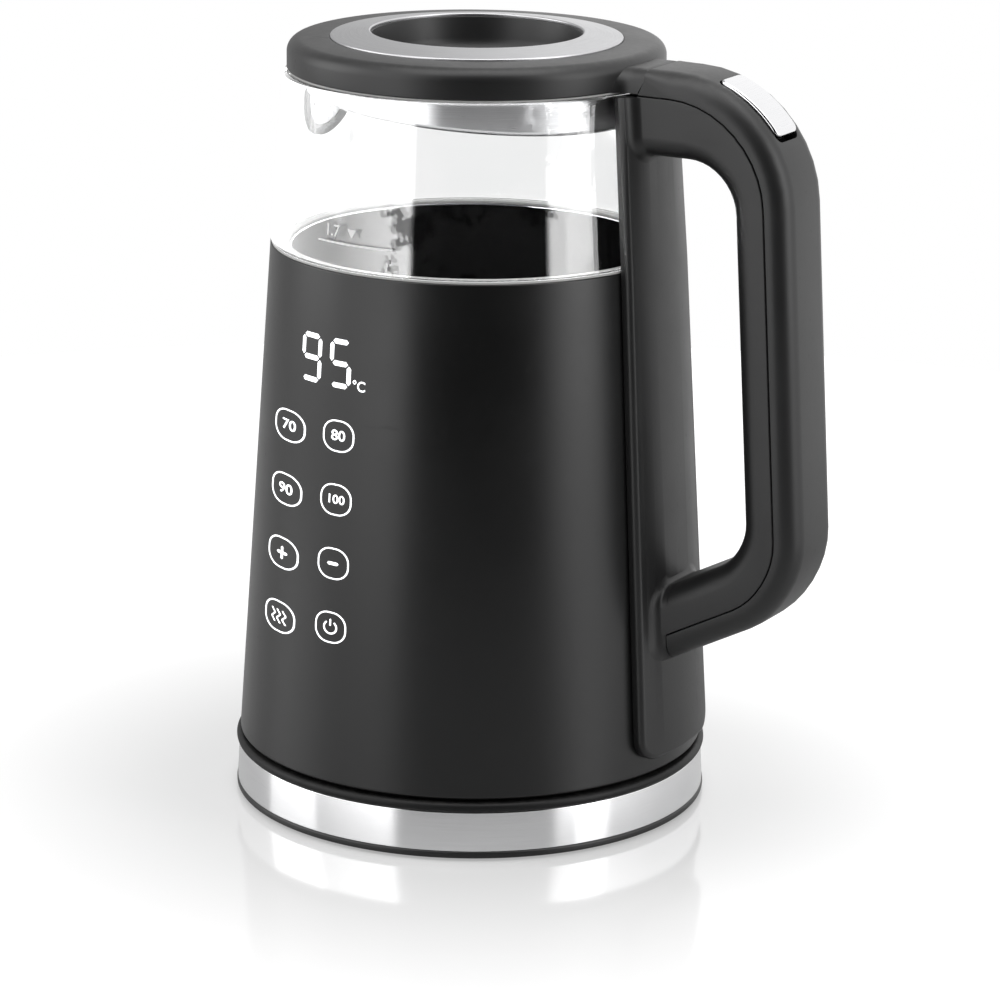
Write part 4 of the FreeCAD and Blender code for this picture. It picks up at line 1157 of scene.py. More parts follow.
@dataclass
class Panel:
    """Lit digits and keys behind the jacket, and the level mark printed on the glass.

    Attributes:
        key_columns: Azimuths of the key columns, in degrees.
        key_rows: Heights of the keys in each column.
        stretch: How much wider the signs of each column are, so that they look alike from the front.
        long_label: Share of the label size that three figures have.
        digit_gap: Gap at each end of a bar.
        power_radii: Inner and outer radius of the power sign's ring.
        power_gap: Half the angle of the ring's gap, in degrees.
        power_stroke: Ends of the stroke in the gap.
        wave_length: Height of one swing to and fro.
        mark_span: Azimuths of the level line's ends, in degrees.
        mark_rise: Height of the figure over the line.
        pointer: Half width, top and tip of the pointer.
    """

    jug: Jug
    key_columns: tuple[float, float] = (-117.5, -97.6)
    key_rows: tuple[tuple[float, ...], ...] = ((127.0, 107.0, 86.8, 66.5), (128.3, 108.6, 88.7, 68.7))
    stretch: tuple[float, float] = (1.88, 1.245)
    key_size: float = 9.8
    key_round: float = 4.2
    key_line: float = 0.45
    label_size: float = 4.5
    label_weight: float = 0.05
    long_label: float = 0.85
    digit_places: tuple[float, float] = (-108.7, -97.9)
    digit_height: float = 150.5
    digit_widths: tuple[float, float] = (7.6, 6.8)
    digit_tall: float = 13.4
    digit_stroke: float = 1.55
    digit_gap: float = 0.4
    unit_place: tuple[float, float] = (-91.6, 144.4)
    unit_size: float = 4.4
    sign_line: float = 0.5
    power_radii: tuple[float, float] = (1.7, 2.2)
    power_gap: float = 36.0
    power_steps: int = 28
    power_stroke: tuple[float, float] = (0.4, 2.7)
    wave_gap: float = 1.7
    wave_size: tuple[float, float] = (0.5, 4.2)
    wave_swing: float = 0.45
    wave_length: float = 2.8
    wave_steps: int = 16
    plus_reach: tuple[float, float] = (1.7, 2.1)
    plus_lines: tuple[float, float] = (0.9, 0.7)
    minus_reach: float = 1.8
    minus_line: float = 1.0
    mark_span: tuple[float, float] = (-108.6, -83.7)
    mark_height: float = 186.7
    mark_half: float = 0.25
    mark_rise: float = 3.4
    mark_size: float = 5.0
    mark_aside: float = 7.0
    pointer: tuple[float, float, float] = (1.5, 1.3, -1.5)
    lift: float = 0.05
    depth: float = 0.06

    def flat_text(self, words: str, size: float) -> Mesh:
        """Sets plain figures flat, centred on zero.

        Args:
            words: The figures.
            size: Their size, in millimetres.

        Returns:
            The flat mesh.
        """
        curve = bpy.data.curves.new("figures", "FONT")
        curve.body = words
        curve.size = size
        curve.offset = self.label_weight
        curve.align_x = "CENTER"
        curve.align_y = "CENTER"
        thing = linked("figures", curve)
        mesh = bpy.data.meshes.new_from_object(thing)
        bm = bmesh.new()
        bm.from_mesh(mesh)
        bpy.data.objects.remove(thing)
        bpy.data.curves.remove(curve)
        bpy.data.meshes.remove(mesh)
        bmesh.ops.scale(bm, vec=(MM, MM, MM), verts=bm.verts[:])
        bmesh.ops.remove_doubles(bm, verts=bm.verts[:], dist=HAIR)
        return bm

    def outline_key(self) -> Mesh:
        """Draws a key's outline as a thin rounded frame."""
        half = self.key_size / 2
        bm = section(oblong(half, half, self.key_round), Plane.LEVEL)
        bmesh.ops.inset_region(bm, faces=bm.faces[:], thickness=self.key_line * MM, use_boundary=True,
                               use_even_offset=True)
        middle = max(bm.faces, key=lambda face: face.calc_area())
        bmesh.ops.delete(bm, geom=[middle], context="FACES")
        return bm

    def bar(self, start: Sequence[float], end: Sequence[float], width: float, gap: float = 0.0) -> Mesh:
        """Draws a bar with pointed ends.

        Args:
            start: Point that it starts from.
            end: Point that it goes to.
            width: Its width.
            gap: How far it stays short of both points.

        Returns:
            The flat mesh.
        """
        first, last = Vector(start), Vector(end)
        along = (last - first).normalized()
        side = Vector((-along.y, along.x)) * (width / 2)
        point = along * (width / 2)
        first += along * gap
        last -= along * gap
        corners = [first, first + point - side, last - point - side, last, last - point + side,
                   first + point + side]
        return section([Corner(c.x, c.y) for c in corners], Plane.LEVEL)

    def digit(self, figure: int, width: float) -> Mesh:
        """Draws a digit from bars."""
        wide, tall = width / 2, self.digit_tall / 2
        bars = {"top": ((-wide, tall), (wide, tall)), "middle": ((-wide, 0), (wide, 0)),
                "bottom": ((-wide, -tall), (wide, -tall)), "left_high": ((-wide, 0), (-wide, tall)),
                "right_high": ((wide, 0), (wide, tall)), "left_low": ((-wide, -tall), (-wide, 0)),
                "right_low": ((wide, -tall), (wide, 0))}
        dark = {5: ("right_high", "left_low"), 9: ("left_low",)}
        return joined(self.bar(start, end, self.digit_stroke, self.digit_gap)
                      for name, (start, end) in bars.items() if name not in dark[figure])

    def power_sign(self) -> Mesh:
        """Draws a ring with a gap and a stroke in it."""
        arc = bmesh.new()
        arc.edges.new([arc.verts.new((0, radius * MM, 0)) for radius in self.power_radii])
        swing(arc, self.power_gap, "Z")
        bmesh.ops.spin(arc, geom=arc.verts[:] + arc.edges[:], cent=(0, 0, 0), axis=(0, 0, 1),
                       angle=2 * (math.pi - math.radians(self.power_gap)), steps=self.power_steps,
                       use_merge=False, use_normal_flip=False, use_duplicate=False)
        low, high = self.power_stroke
        return joined([arc, self.bar((0, low), (0, high), self.sign_line)])

    def heat_sign(self) -> Mesh:
        """Draws three rising waves."""
        waves = []
        wide, tall = self.wave_size
        for place in (-1, 0, 1):
            wave = bmesh.new()
            bmesh.ops.create_grid(wave, x_segments=1, y_segments=self.wave_steps, size=0.5)
            bmesh.ops.scale(wave, vec=(wide * MM, tall * MM, 1), verts=wave.verts[:])
            for vert in wave.verts:
                swung = self.wave_swing * math.sin(vert.co.y / MM * 2 * math.pi / self.wave_length)
                vert.co.x += (place * self.wave_gap + swung) * MM
            waves.append(wave)
        return joined(waves)

    def plus_sign(self) -> Mesh:
        """Draws a plus."""
        wide, tall = self.plus_reach
        level, upright = self.plus_lines
        return joined([self.bar((-wide, 0), (wide, 0), level), self.bar((0, -tall), (0, tall), upright)])

    def minus_sign(self) -> Mesh:
        """Draws a minus."""
        return self.bar((-self.minus_reach, 0), (self.minus_reach, 0), self.minus_line)

    def wrapped(self, flat: Mesh, azimuth: float, height: float, wall: Callable[[float], float]) -> Mesh:
        """Lays a flat sign on a round wall and gives it a little thickness.

        Args:
            flat: The sign, centred on zero. It is changed.
            azimuth: Where its middle goes, in degrees.
            height: Height of its middle, in millimetres.
            wall: Gives the wall's radius at a height.

        Returns:
            The sign in place.
        """
        outward(flat)
        cut_strips(flat)
        middle = math.radians(azimuth)
        for vert in flat.verts:
            turned = middle + vert.co.x / MM / wall(height)
            level = height + vert.co.y / MM
            vert.co = on_round(wall(level) + self.lift, turned, level)
        draw_out(flat, Vector((math.cos(middle), math.sin(middle), 0)) * self.depth * MM)
        return flat

    def lit(self, flat: Mesh, azimuth: float, height: float) -> Mesh:
        """Lays a sign on the jacket."""
        return self.wrapped(flat, azimuth, height, self.jug.radius_at)

    def printed(self, flat: Mesh, azimuth: float, height: float) -> Mesh:
        """Lays a mark on the glass."""
        return self.wrapped(flat, azimuth, height, self.jug.glass_at)

    def build_keys(self) -> None:
        """Makes the keys with their figures and signs."""
        signs = [self.flat_text(words, self.label_size) for words in ("70", "80", "90")]
        signs += [self.flat_text("100", self.label_size * self.long_label), self.plus_sign(),
                  self.minus_sign(), self.heat_sign(), self.power_sign()]
        parts = []
        for index, sign in enumerate(signs):
            row, column = divmod(index, len(self.key_columns))
            for flat in (self.outline_key(), sign):
                bmesh.ops.scale(flat, vec=(self.stretch[column], 1, 1), verts=flat.verts[:])
                parts.append(self.lit(flat, self.key_columns[column], self.key_rows[column][row]))
        make(joined(parts), "panel_keys", Finishes.glow, Body.KETTLE, "lit_display")

    def build_digits(self) -> None:
        """Makes the two digits and their unit."""
        parts = [self.lit(self.digit(figure, width), azimuth, self.digit_height)
                 for figure, width, azimuth in zip((9, 5), self.digit_widths, self.digit_places)]
        parts.append(self.lit(self.flat_text("°C", self.unit_size), *self.unit_place))
        make(joined(parts), "panel_digits", Finishes.glow, Body.KETTLE, "lit_display")

    def build_mark(self) -> None:
        """Makes the level mark: a line, a pointer and a figure."""
        start, end = self.mark_span
        middle = (start + end) / 2
        reach = math.radians(end - start) * self.jug.glass_at(self.mark_height) / 2
        line = section(oblong(reach, self.mark_half), Plane.LEVEL)
        wide, top, tip = self.pointer
        pointer = section([Corner(-wide, top), Corner(0, tip), Corner(wide, top)], Plane.LEVEL)
        above = self.mark_height + self.mark_rise
        figure = self.flat_text("1.7", self.mark_size)
        parts = [self.printed(line, middle, self.mark_height), self.printed(pointer, middle, above),
                 self.printed(figure, middle - self.mark_aside, above)]
        # the mark's finish paints a faint glow onto the print
        make(joined(parts), "level_mark", Finishes.print_with_painted_glow, Body.KETTLE, "white_ceramic")

    def build(self) -> None:
        """Makes every sign."""
        self.build_keys()
        self.build_digits()
        self.build_mark()


@dataclass
class ArmRoot:
    """Hollow flare that an arm of the handle flows into the spine with.

    Attributes:
        handle: The handle.
        start: X of the spine's face at the arm.
        face: Height there of the arm's side towards the finger hole.
        back: Height there of its other side.
        back_round: Rounding of that side's edges.
        rise: Rise of the arm for each length along X.
        flare: How far the hollow spreads over the spine.
        depth: How far it reaches along the arm.
        skin: How far it lies under the arm's surface.
        steps: Rings of the hollow.
    """

    handle: "Handle"
    start: float
    face: float
    back: float
    back_round: float
    rise: float
    flare: float
    depth: float
    skin: float = 0.05
    steps: int = 10

    def point(self, across: float, along: float, off: float, spread: float, follow: float) -> Vector:
        """Gives a point of a ring round the arm.

        Args:
            across: Place of the point across the arm's section.
            along: Height of the point in that section.
            off: Distance off the spine.
            spread: How far the ring lies outside the section.
            follow: 1 on a ring that follows the spine's curve, 0 on a flat one.

        Returns:
            The point, in metres.
        """
        edge = self.handle.grip_edge
        inside = self.handle.half_width - edge
        way = math.copysign(1.0, self.face - self.back)
        low, high = sorted((self.back + way * self.back_round, self.face - way * edge))
        near = min(max(across, -inside), inside)
        level = min(max(along, low), high)
        grow = 1.0 + spread / edge
        y = near + (across - near) * grow
        z = level + (along - level) * (grow if (along - level) * way > 0 else 1.0)
        wall = math.sqrt((self.handle.spine_wall(z) + self.handle.spine_height) ** 2 - y ** 2)
        x = self.start + follow * (wall - self.start) + off
        return Vector((x, y, z + self.rise * (x - self.start))) * MM

    def rings(self) -> list[tuple[float, float, float]]:
        """Gives each ring's distance off the spine, its spread and whether it follows the curve."""
        turns = [math.pi / 2 * step / self.steps for step in range(self.steps + 1)]
        hollow = [(self.depth * (1 - math.sin(turned)) - self.skin,
                   self.flare * (1 - math.cos(turned)) - self.skin, 1.0) for turned in turns]
        return [(self.depth, -self.skin, 0.0), *hollow, (-ROOT_SINK, self.flare - self.skin, 1.0)]

    def mesh(self) -> Mesh:
        """Draws the arm's section out towards the spine, ring by ring."""
        half, edge = self.handle.half_width, self.handle.grip_edge
        bm = section([Corner(-half, self.back, self.back_round), Corner(half, self.back, self.back_round),
                      Corner(half, self.face, edge), Corner(-half, self.face, edge)], Plane.LEVEL)
        spot = bm.verts.layers.float_vector.new("spot")
        for vert in bm.verts:
            vert[spot] = vert.co / MM
        cap, verts = bm.faces[:], bm.verts[:]
        for index, (off, spread, follow) in enumerate(self.rings()):
            if index:
                made = bmesh.ops.extrude_face_region(bm, geom=cap, use_keep_orig=True)
                if index > 1:
                    bmesh.ops.delete(bm, geom=cap, context="FACES_ONLY")
                cap = only(made["geom"], bmesh.types.BMFace)
                verts = only(made["geom"], bmesh.types.BMVert)
            for vert in verts:
                vert.co = self.point(vert[spot].x, vert[spot].y, off, spread, follow)
        return tidy(bm)


@dataclass
class Handle:
    """Loop handle in two halves on a spine, with a hinge lug for the lid and the release button.

    Attributes:
        arm_drop: Height of the finger hole at the grip.
        arm_sink: How far the upper arm reaches into the spine.
        root_guess: First guess of the lower root's height.
        seam_depth: Depth of the outer half.
        hinge_drop: Distance of the parting line from the axis.
        lug_fill: Share of the lug's half width that its top is rounded by.
        parting_angle: Slant of the lid's parting line.
        button_proud: How far the button stands out.
        thumb_room: Extra room under the button's lower end.
        upper_flare: Spread and reach of the hollow at the upper arm.
    """

    jug: Jug
    spine_height: float = 4.0
    spine_half_angle: float = 16.5
    spine_bottom: float = 25.0
    spine_corner: float = 7.0
    spine_edge: float = 2.0
    finger_gap: float = 28.5
    grip_depth: float = 19.0
    half_width: float = 14.0
    grip_edge: float = 6.5
    arm_height: float = 26.0
    arm_angle: float = 27.5
    arm_depth: float = 21.3
    arm_drop: float = 119.5
    arm_sink: float = 1.5
    root_guess: float = 60.0
    top_bend: float = 40.0
    bottom_bend: float = 32.0
    hole_bend: float = 16.0
    seam_depth: float = 7.5
    seam_gap: float = 0.25
    seam_edge: float = 0.35
    hinge_reach: float = 62.7
    hinge_height: float = 236.5
    hinge_drop: float = 2.5
    knee_round: float = 1.0
    lug_radius: float = 1.5
    lug_fill: float = 0.98
    lug_half: float = 8.7
    parting_angle: float = 25.6
    lid_opening: float = 80.0
    button_angle: float = 53.0
    button_length: float = 25.0
    button_width: float = 13.5
    button_proud: float = 0.9
    button_cap: float = 3.0
    button_travel: float = 2.0
    button_edge: float = 0.8
    button_corner: float = 2.4
    thumb_room: float = 1.0
    play: float = 0.3
    upper_flare: float = 3.6
    lower_flare: float = 5.0
    lower_depth: float = 2.4

    def __post_init__(self) -> None:
        """Works out what follows from the sizes."""
        self.top = top_of("handle_cover")
        jug = self.jug
        self.slope = (jug.low_radius - jug.high_radius) / (jug.high - jug.low)
        self.lean = math.atan(self.slope)
        self.rise = math.tan(math.radians(self.arm_angle))
        self.spine_top = top_of("glass_wall") - self.play
        self.root = self.grip_x(self.arm_z(self.grip_x(self.root_guess, 0), self.arm_depth / 2), 0)
        self.rounds = {Rim.GRIP: self.grip_edge, Rim.SEAM: self.seam_edge}

    def grip_x(self, height: float, offset: float) -> float:
        """X of a line beside the jug that leans with its wall."""
        return self.jug.radius_at(height) + self.spine_height + offset

    def arm_z(self, x: float, offset: float) -> float:
        """Height of the lower arm's upper face, moved down square to it."""
        start_height = self.top - self.arm_height - self.arm_drop
        start = self.grip_x(start_height, self.finger_gap)
        return start_height + (x - start) * self.rise - offset / math.cos(math.radians(self.arm_angle))

    def meet(self, offset: float, arm_offset: float) -> tuple[float, float]:
        """Where a grip line meets a line of the lower arm."""
        base = self.arm_z(0.0, arm_offset)
        x = (self.grip_x(0.0, offset) - self.slope * base) / (1 + self.slope * self.rise)
        return x, base + self.rise * x

    def outer(self, inset: float, front: float, root: float, rim: Rim) -> list[Corner]:
        """Draws the outer outline from the hinge round to the lower root.

        Args:
            inset: How far it is moved in.
            front: X that it starts from.
            root: X that it ends at.
            rim: Kind of its edges.

        Returns:
            Its corners.
        """
        top = self.top - inset
        beside = self.finger_gap + self.grip_depth - inset / math.cos(self.lean)
        low_x, low_z = self.meet(beside, self.arm_depth - inset)
        return [Corner(front, top, 0.0, rim),
                Corner(self.grip_x(top, beside), top, self.top_bend - inset, rim),
                Corner(low_x, low_z, self.bottom_bend - inset, rim),
                Corner(root, self.arm_z(root, self.arm_depth - inset))]

    def hole(self, front: float, root: float, rim: Rim) -> list[Corner]:
        """Draws the finger hole from the lower root round to the upper one.

        Args:
            front: X that it ends at.
            root: X that it starts from.
            rim: Kind of its edges.

        Returns:
            Its corners.
        """
        under = self.top - self.arm_height
        low_x, low_z = self.meet(self.finger_gap, 0.0)
        return [Corner(root, self.arm_z(root, 0.0), 0.0, rim), Corner(low_x, low_z, self.hole_bend, rim),
                Corner(self.grip_x(under, self.finger_gap), under, self.hole_bend, rim), Corner(front, under)]

    def bend_centre(self) -> tuple[float, float]:
        """Centre of the top bend."""
        height = self.top - self.top_bend
        beside = self.grip_x(height, self.finger_gap + self.grip_depth)
        return beside - self.top_bend / math.cos(self.lean), height

    def parting_x(self, height: float, grow: float) -> float:
        """X of the slanted end of the lid's tab at a height, moved back by a gap."""
        slant = math.radians(self.parting_angle)
        reach = self.hinge_drop + grow + (height - self.hinge_height) * math.sin(slant)
        return self.hinge_reach + reach / math.cos(slant)

    def opened_x(self, height: float, grow: float) -> float:
        """X of the open lid's top face at a height, moved back by a gap."""
        turned = math.radians(self.lid_opening)
        reach = self.hinge_drop + grow - (height - self.hinge_height) * math.cos(turned)
        return self.hinge_reach + reach / math.sin(turned)

    def upper_root(self) -> ArmRoot:
        """Gives the flare of the upper arm."""
        under = self.top - self.arm_height
        start = self.spine_wall(under) + self.spine_height
        back = self.top - self.seam_depth - 2 * self.seam_gap
        return ArmRoot(self, start, under, back, 0.0, 0.0, self.upper_flare, self.upper_flare)

    def lower_root(self) -> ArmRoot:
        """Gives the flare of the lower arm, which also closes the outer half's end."""
        return ArmRoot(self, self.root, self.arm_z(self.root, 0.0), self.arm_z(self.root, self.arm_depth),
                       self.grip_edge, self.rise, self.lower_flare, self.lower_depth)

    def button_room(self) -> Mesh:
        """Makes the room that the button moves in."""
        half = self.button_length / 2 + self.play
        inner = self.top_bend + self.button_proud - self.button_cap
        under = math.sqrt(inner ** 2 - half ** 2) - self.button_travel - self.play
        side = self.button_width / 2 + self.play
        room = box_mesh((-half, -side, under), (half + self.thumb_room, side, 2 * self.top_bend))
        upright = [e for e in room.edges if abs(e.verts[0].co.z - e.verts[1].co.z) > MM]
        rounded(room, upright, (self.button_corner + self.play) * MM, CORNER_STEPS)
        swing(room, 90 - self.button_angle, "Y")
        x, z = self.bend_centre()
        shift(room, Vector((x, 0, z)) * MM)
        return room

    def build_cover(self) -> None:
        """Makes the outer half, cut off at the lid's parting line, with the button's opening."""
        root = self.root - ROOT_SINK
        face = self.outer(0.0, self.opened_x(self.top, self.play), root, Rim.GRIP)
        seam = self.top - self.seam_depth
        seam_front = self.parting_x(seam, self.play)
        back = self.outer(self.seam_depth, seam_front, root, Rim.SEAM)[:0:-1]
        back = [Corner(c.across, c.along, c.radius, Rim.SEAM) for c in back]
        knee = self.hinge_height - self.play
        front = [Corner(seam_front, seam), Corner(self.opened_x(knee, self.play), knee, self.knee_round)]
        cover = slab(face + back + front, self.half_width, self.rounds)
        stop = self.root + self.lower_depth + self.seam_gap
        wide = 2 * self.half_width
        cover = combined(cover, box_mesh((0, -wide, 0), (stop, wide, self.top / 2)), Join.CUT)
        cover = combined(cover, self.button_room(), Join.CUT)
        make(cover, "grip_outer", Finishes.black, Body.KETTLE, "black_plastic", "handle_cover")

    def spine_wall(self, height: float) -> float:
        """Radius that the spine lies on: the jacket's, then straight up to the glass's rim."""
        jug = self.jug
        if height <= jug.high:
            return jug.radius_at(height)
        share = (height - jug.high) / (self.spine_top - jug.high)
        return jug.high_radius + (jug.glass_at(self.spine_top) - jug.high_radius) * share

    def spine(self) -> Mesh:
        """Makes the strip on the wall that carries the handle, drawn flat and bent round the jug."""
        low, high = self.spine_bottom, self.spine_top
        scale = self.jug.radius_at(low)
        wide = math.radians(self.spine_half_angle) * scale
        strip = raised([Corner(-wide, high, 0.0, Rim.GRIP), Corner(-wide, low, self.spine_corner, Rim.GRIP),
                        Corner(wide, low, self.spine_corner, Rim.GRIP), Corner(wide, high)],
                       self.play, self.spine_height, self.spine_edge)
        cut_strips(strip)
        bmesh.ops.bisect_plane(strip, geom=everything(strip), dist=HAIR, plane_co=(0, self.jug.high * MM, 0),
                               plane_no=(0, 1, 0))
        for vert in strip.verts:
            height = vert.co.y / MM
            vert.co = on_round(self.spine_wall(height) + vert.co.z / MM, vert.co.x / MM / scale, height)
        return tidy(strip)

    def build_frame(self) -> None:
        """Makes the spine with the inner half of the handle and the hinge lug."""
        root = self.root - ROOT_SINK
        front = self.jug.glass_at(self.top - self.arm_height) + self.spine_height - self.arm_sink
        outside = self.outer(self.seam_depth + self.seam_gap, front, root, Rim.SEAM)
        loop = slab(outside + self.hole(front, root, Rim.GRIP), self.half_width, self.rounds)
        low, high = self.top - 2 * self.seam_depth, self.hinge_height + self.lug_radius
        near, far = self.hinge_reach - self.lug_radius, self.hinge_reach + self.lug_radius
        lug_round = self.lug_radius * self.lug_fill
        lug = slab([Corner(near, low), Corner(far, low), Corner(far, high, lug_round),
                    Corner(near, high, lug_round)], self.lug_half, {})
        solid = loop
        for piece in (self.spine(), self.upper_root().mesh(), self.lower_root().mesh(), lug):
            solid = combined(solid, piece, Join.ADD)
        make(solid, "grip_inner_and_spine", Finishes.black, Body.KETTLE, "black_plastic", "handle_frame")

    def build_button(self) -> None:
        """Makes the release button, drawn flat and bent round the handle's upper bend."""
        x, z = self.bend_centre()
        outer = self.top_bend + self.button_proud
        reach = outer * math.asin(self.button_length / 2 / outer)
        cap = raised(oblong(reach, self.button_width / 2, self.button_corner, Rim.GRIP),
                     outer - self.button_cap, outer, self.button_edge)
        cut_strips(cap)
        for vert in cap.verts:
            angle = math.radians(self.button_angle) - vert.co.x / MM / outer
            radius = vert.co.z / MM
            spot = (x + radius * math.cos(angle), vert.co.y / MM, z + radius * math.sin(angle))
            vert.co = Vector(spot) * MM
        make(tidy(cap), "release_cap", Finishes.chrome, Body.BUTTON, "polished_steel", "release_button")

    def build(self) -> None:
        """Makes the handle and dresses its hidden pieces."""
        self.build_frame()
        self.build_cover()
        self.build_button()
        dress("hinge_pin", Finishes.steel)
        dress("latch_slide", Finishes.dark)
        dress("latch_spring", Finishes.steel)


@dataclass
class Lid:
    """Hinged lid: black shell with a dish, satin ring, slanted steel liner, seal and hinge tab.

    Attributes:
        crown: Rise of the top to the ring.
        ring_radii: Inner and outer radius of the ring.
        dish_gap: Distance of the dish's edge from the ring's inner edge.
        liner_drops: Depth of the liner under the glass's rim, at the spout and at the hinge.
        liner_spare: Height that the slanted cut takes off the liner at the hinge.
        tab_root: Distance of the flare's start inside the lid's side.
        gap: Gap between pieces that are put together.
    """

    handle: Handle
    radius: float = 58.4
    wall: float = 2.2
    side_height: float = 9.2
    foot_round: float = 0.5
    shoulder: float = 4.2
    crown: float = 0.5
    seat_edge: float = 0.3
    ring_radii: tuple[float, float] = (32.7, 45.1)
    ring_rise: float = 1.5
    ring_thickness: float = 1.0
    ring_inset: float = 0.5
    dish_gap: float = 0.3
    dish_depth: float = 11.5
    dish_draft: float = 2.0
    dish_corner: float = 6.0
    liner_radius: float = 53.4
    liner_wall: float = 0.8
    liner_drops: tuple[float, float] = (3.6, 12.5)
    liner_spare: float = 5.0
    liner_corner: float = 1.6
    liner_steps: int = 5
    seal_edge: float = 0.1
    tab_flare: float = 8.0
    tab_root: float = 4.9
    gap: float = 0.05

    def __post_init__(self) -> None:
        """Reads the heights from the frame."""
        self.low = top_of("lid_seal")
        self.high = self.low + self.side_height

    def under_ring(self, radius: float) -> float:
        """Height of the ring's lower face at a radius."""
        inner, outer = self.ring_radii
        return self.high + self.crown - self.ring_inset + self.ring_rise * (outer - radius) / (outer - inner)

    def tab(self) -> Mesh:
        """Makes the tab that flares out of the lid's side and ends at the parting line over the hinge."""
        handle = self.handle
        half = handle.half_width
        root = self.radius - self.tab_root
        wide = half + self.tab_flare + handle.play
        deep = root - self.wall
        end = handle.hinge_reach + 3 * handle.hinge_drop
        tab = raised([Corner(deep, -wide), Corner(root, -wide, 0.0, Rim.GRIP),
                      Corner(root, -half, self.tab_flare, Rim.GRIP), Corner(end, -half),
                      Corner(end, half, 0.0, Rim.SEAM), Corner(root, half, self.tab_flare, Rim.SEAM),
                      Corner(root, wide), Corner(deep, wide)], self.low, handle.top, handle.grip_edge)
        low, high = self.low - self.wall, handle.hinge_height + handle.hinge_drop
        over, near = high + self.wall, handle.hinge_reach - handle.play
        space = slab([Corner(0, low), Corner(handle.parting_x(low, 0.0), low),
                      Corner(handle.parting_x(high, 0.0), high, handle.hinge_drop), Corner(near, high),
                      Corner(near, over), Corner(0, over)], 2 * wide, {})
        tab = combined(tab, space, Join.KEEP)
        room = handle.lug_radius + handle.play
        side = handle.lug_half + handle.play
        lug_room = box_mesh((handle.hinge_reach - room, -side, low), (end, side, handle.hinge_height + room))
        return combined(tab, lug_room, Join.CUT)

    def build_shell(self) -> None:
        """Makes the black shell with its dish and hinge tab."""
        inner, outer = self.ring_radii
        wall, high = self.wall, self.high
        seat_out = outer + self.gap
        seat_low = self.under_ring(seat_out) - self.gap
        dish_top = inner - self.dish_gap
        dish_high = self.under_ring(dish_top) - self.gap
        dish_low = dish_top - self.dish_draft
        floor = dish_high - self.dish_depth
        inside = self.radius - wall
        shell = turn([Corner(self.radius, self.low, self.foot_round),
                      Corner(self.radius, high, self.shoulder),
                      Corner(seat_out, high + self.crown, self.seat_edge), Corner(seat_out, seat_low),
                      Corner(dish_top, dish_high, self.seat_edge), Corner(dish_low, floor, self.dish_corner),
                      Corner(0, floor), Corner(0, floor - wall),
                      Corner(dish_low + wall, floor - wall, self.dish_corner),
                      Corner(dish_top + wall, seat_low - wall),
                      Corner(inside, high - wall, self.shoulder - wall), Corner(inside, self.low)])
        room = drum(0, 0, self.low - wall, high - wall, inside, steps=TURN_STEPS)
        solid = combined(shell, combined(self.tab(), room, Join.CUT), Join.ADD)
        make(solid, "lid_shell", Finishes.black, Body.LID, "black_plastic", "lid_top")

    def build_ring(self) -> None:
        """Makes the satin ring."""
        inner, outer = self.ring_radii
        low, high = self.under_ring(outer), self.under_ring(inner)
        edge = self.ring_thickness / 2
        band = turn([Corner(outer, low), Corner(outer, low + self.ring_thickness, edge),
                     Corner(inner, high + self.ring_thickness, edge), Corner(inner, high)])
        make(band, "lid_ring", Finishes.satin, Body.LID, "satin_steel", "lid_steel_ring")

    def build_liner(self) -> None:
        """Makes the steel liner, a drum cut off on a slant, emptied from above and given its wall."""
        rim, high = top_of("glass_wall"), top_of("lid_liner")
        front, back = (rim - drop for drop in self.liner_drops)
        liner = drum(0, 0, back - self.liner_spare, high, self.liner_radius, steps=TURN_STEPS)
        across = Vector((2 * self.liner_radius, 0, back - front)).normalized()
        cut = bmesh.ops.bisect_plane(liner, geom=everything(liner), dist=HAIR, clear_inner=True,
                                     plane_co=Vector((0, 0, (front + back) / 2)) * MM,
                                     plane_no=Vector((-across.z, 0, across.x)))
        filled = bmesh.ops.edgeloop_fill(liner, edges=only(cut["geom_cut"], bmesh.types.BMEdge))
        outward(liner)
        rim_edges = [e for face in filled["faces"] for e in face.edges]
        rounded(liner, rim_edges, self.liner_corner * MM, self.liner_steps)
        top = [f for f in liner.faces if all(v.co.z > high * MM - HAIR for v in f.verts)]
        bmesh.ops.delete(liner, geom=top, context="FACES")
        bmesh.ops.solidify(liner, geom=liner.faces[:], thickness=self.liner_wall * MM)
        make(tidy(liner), "liner", Finishes.liner, Body.LID, "satin_steel", "lid_liner")

    def build_seal(self) -> None:
        """Makes the seal round the liner."""
        seal = ring(self.liner_radius + self.gap, reach_of("lid_seal"), bottom_of("lid_seal"),
                    top_of("lid_seal"), self.seal_edge)
        make(seal, "lid_seal_ring", Finishes.silicone, Body.LID, "grey_silicone", "lid_seal")

    def build(self) -> None:
        """Makes every piece of the lid."""
        self.build_shell()
        self.build_ring()
        self.build_liner()
        self.build_seal()


@dataclass(frozen=True)
class Lamp:
    """Soft lamp that faces the jug's middle.

    Attributes:
        name: Name of the lamp.
        side: Side that it shines from, in degrees from the camera's.
        height: Height of its middle, in metres.
        distance: Distance from the jug's axis, in metres.
        size: Width and height, in metres.
        power: Power in watts.
        aim: Height that it faces, in metres.
    """

    name: str
    side: float
    height: float
    distance: float
    size: tuple[float, float]
    power: float
    aim: float = 0.12

    def hang(self, azimuth: float) -> None:
        """Hangs the lamp, beside a camera that looks from an azimuth in degrees."""
        data = bpy.data.lights.new(self.name, "AREA")
        data.shape = "RECTANGLE"
        data.size, data.size_y = self.size
        data.energy = self.power
        turned = math.radians(azimuth + self.side)
        spot = Vector((math.sin(turned) * self.distance, -math.cos(turned) * self.distance, self.height))
        facing = Vector((0, 0, self.aim)) - spot
        thing = linked(self.name, data)
        thing.matrix_world = Matrix.Translation(spot) @ facing.to_track_quat("-Z", "Y").to_matrix().to_4x4()


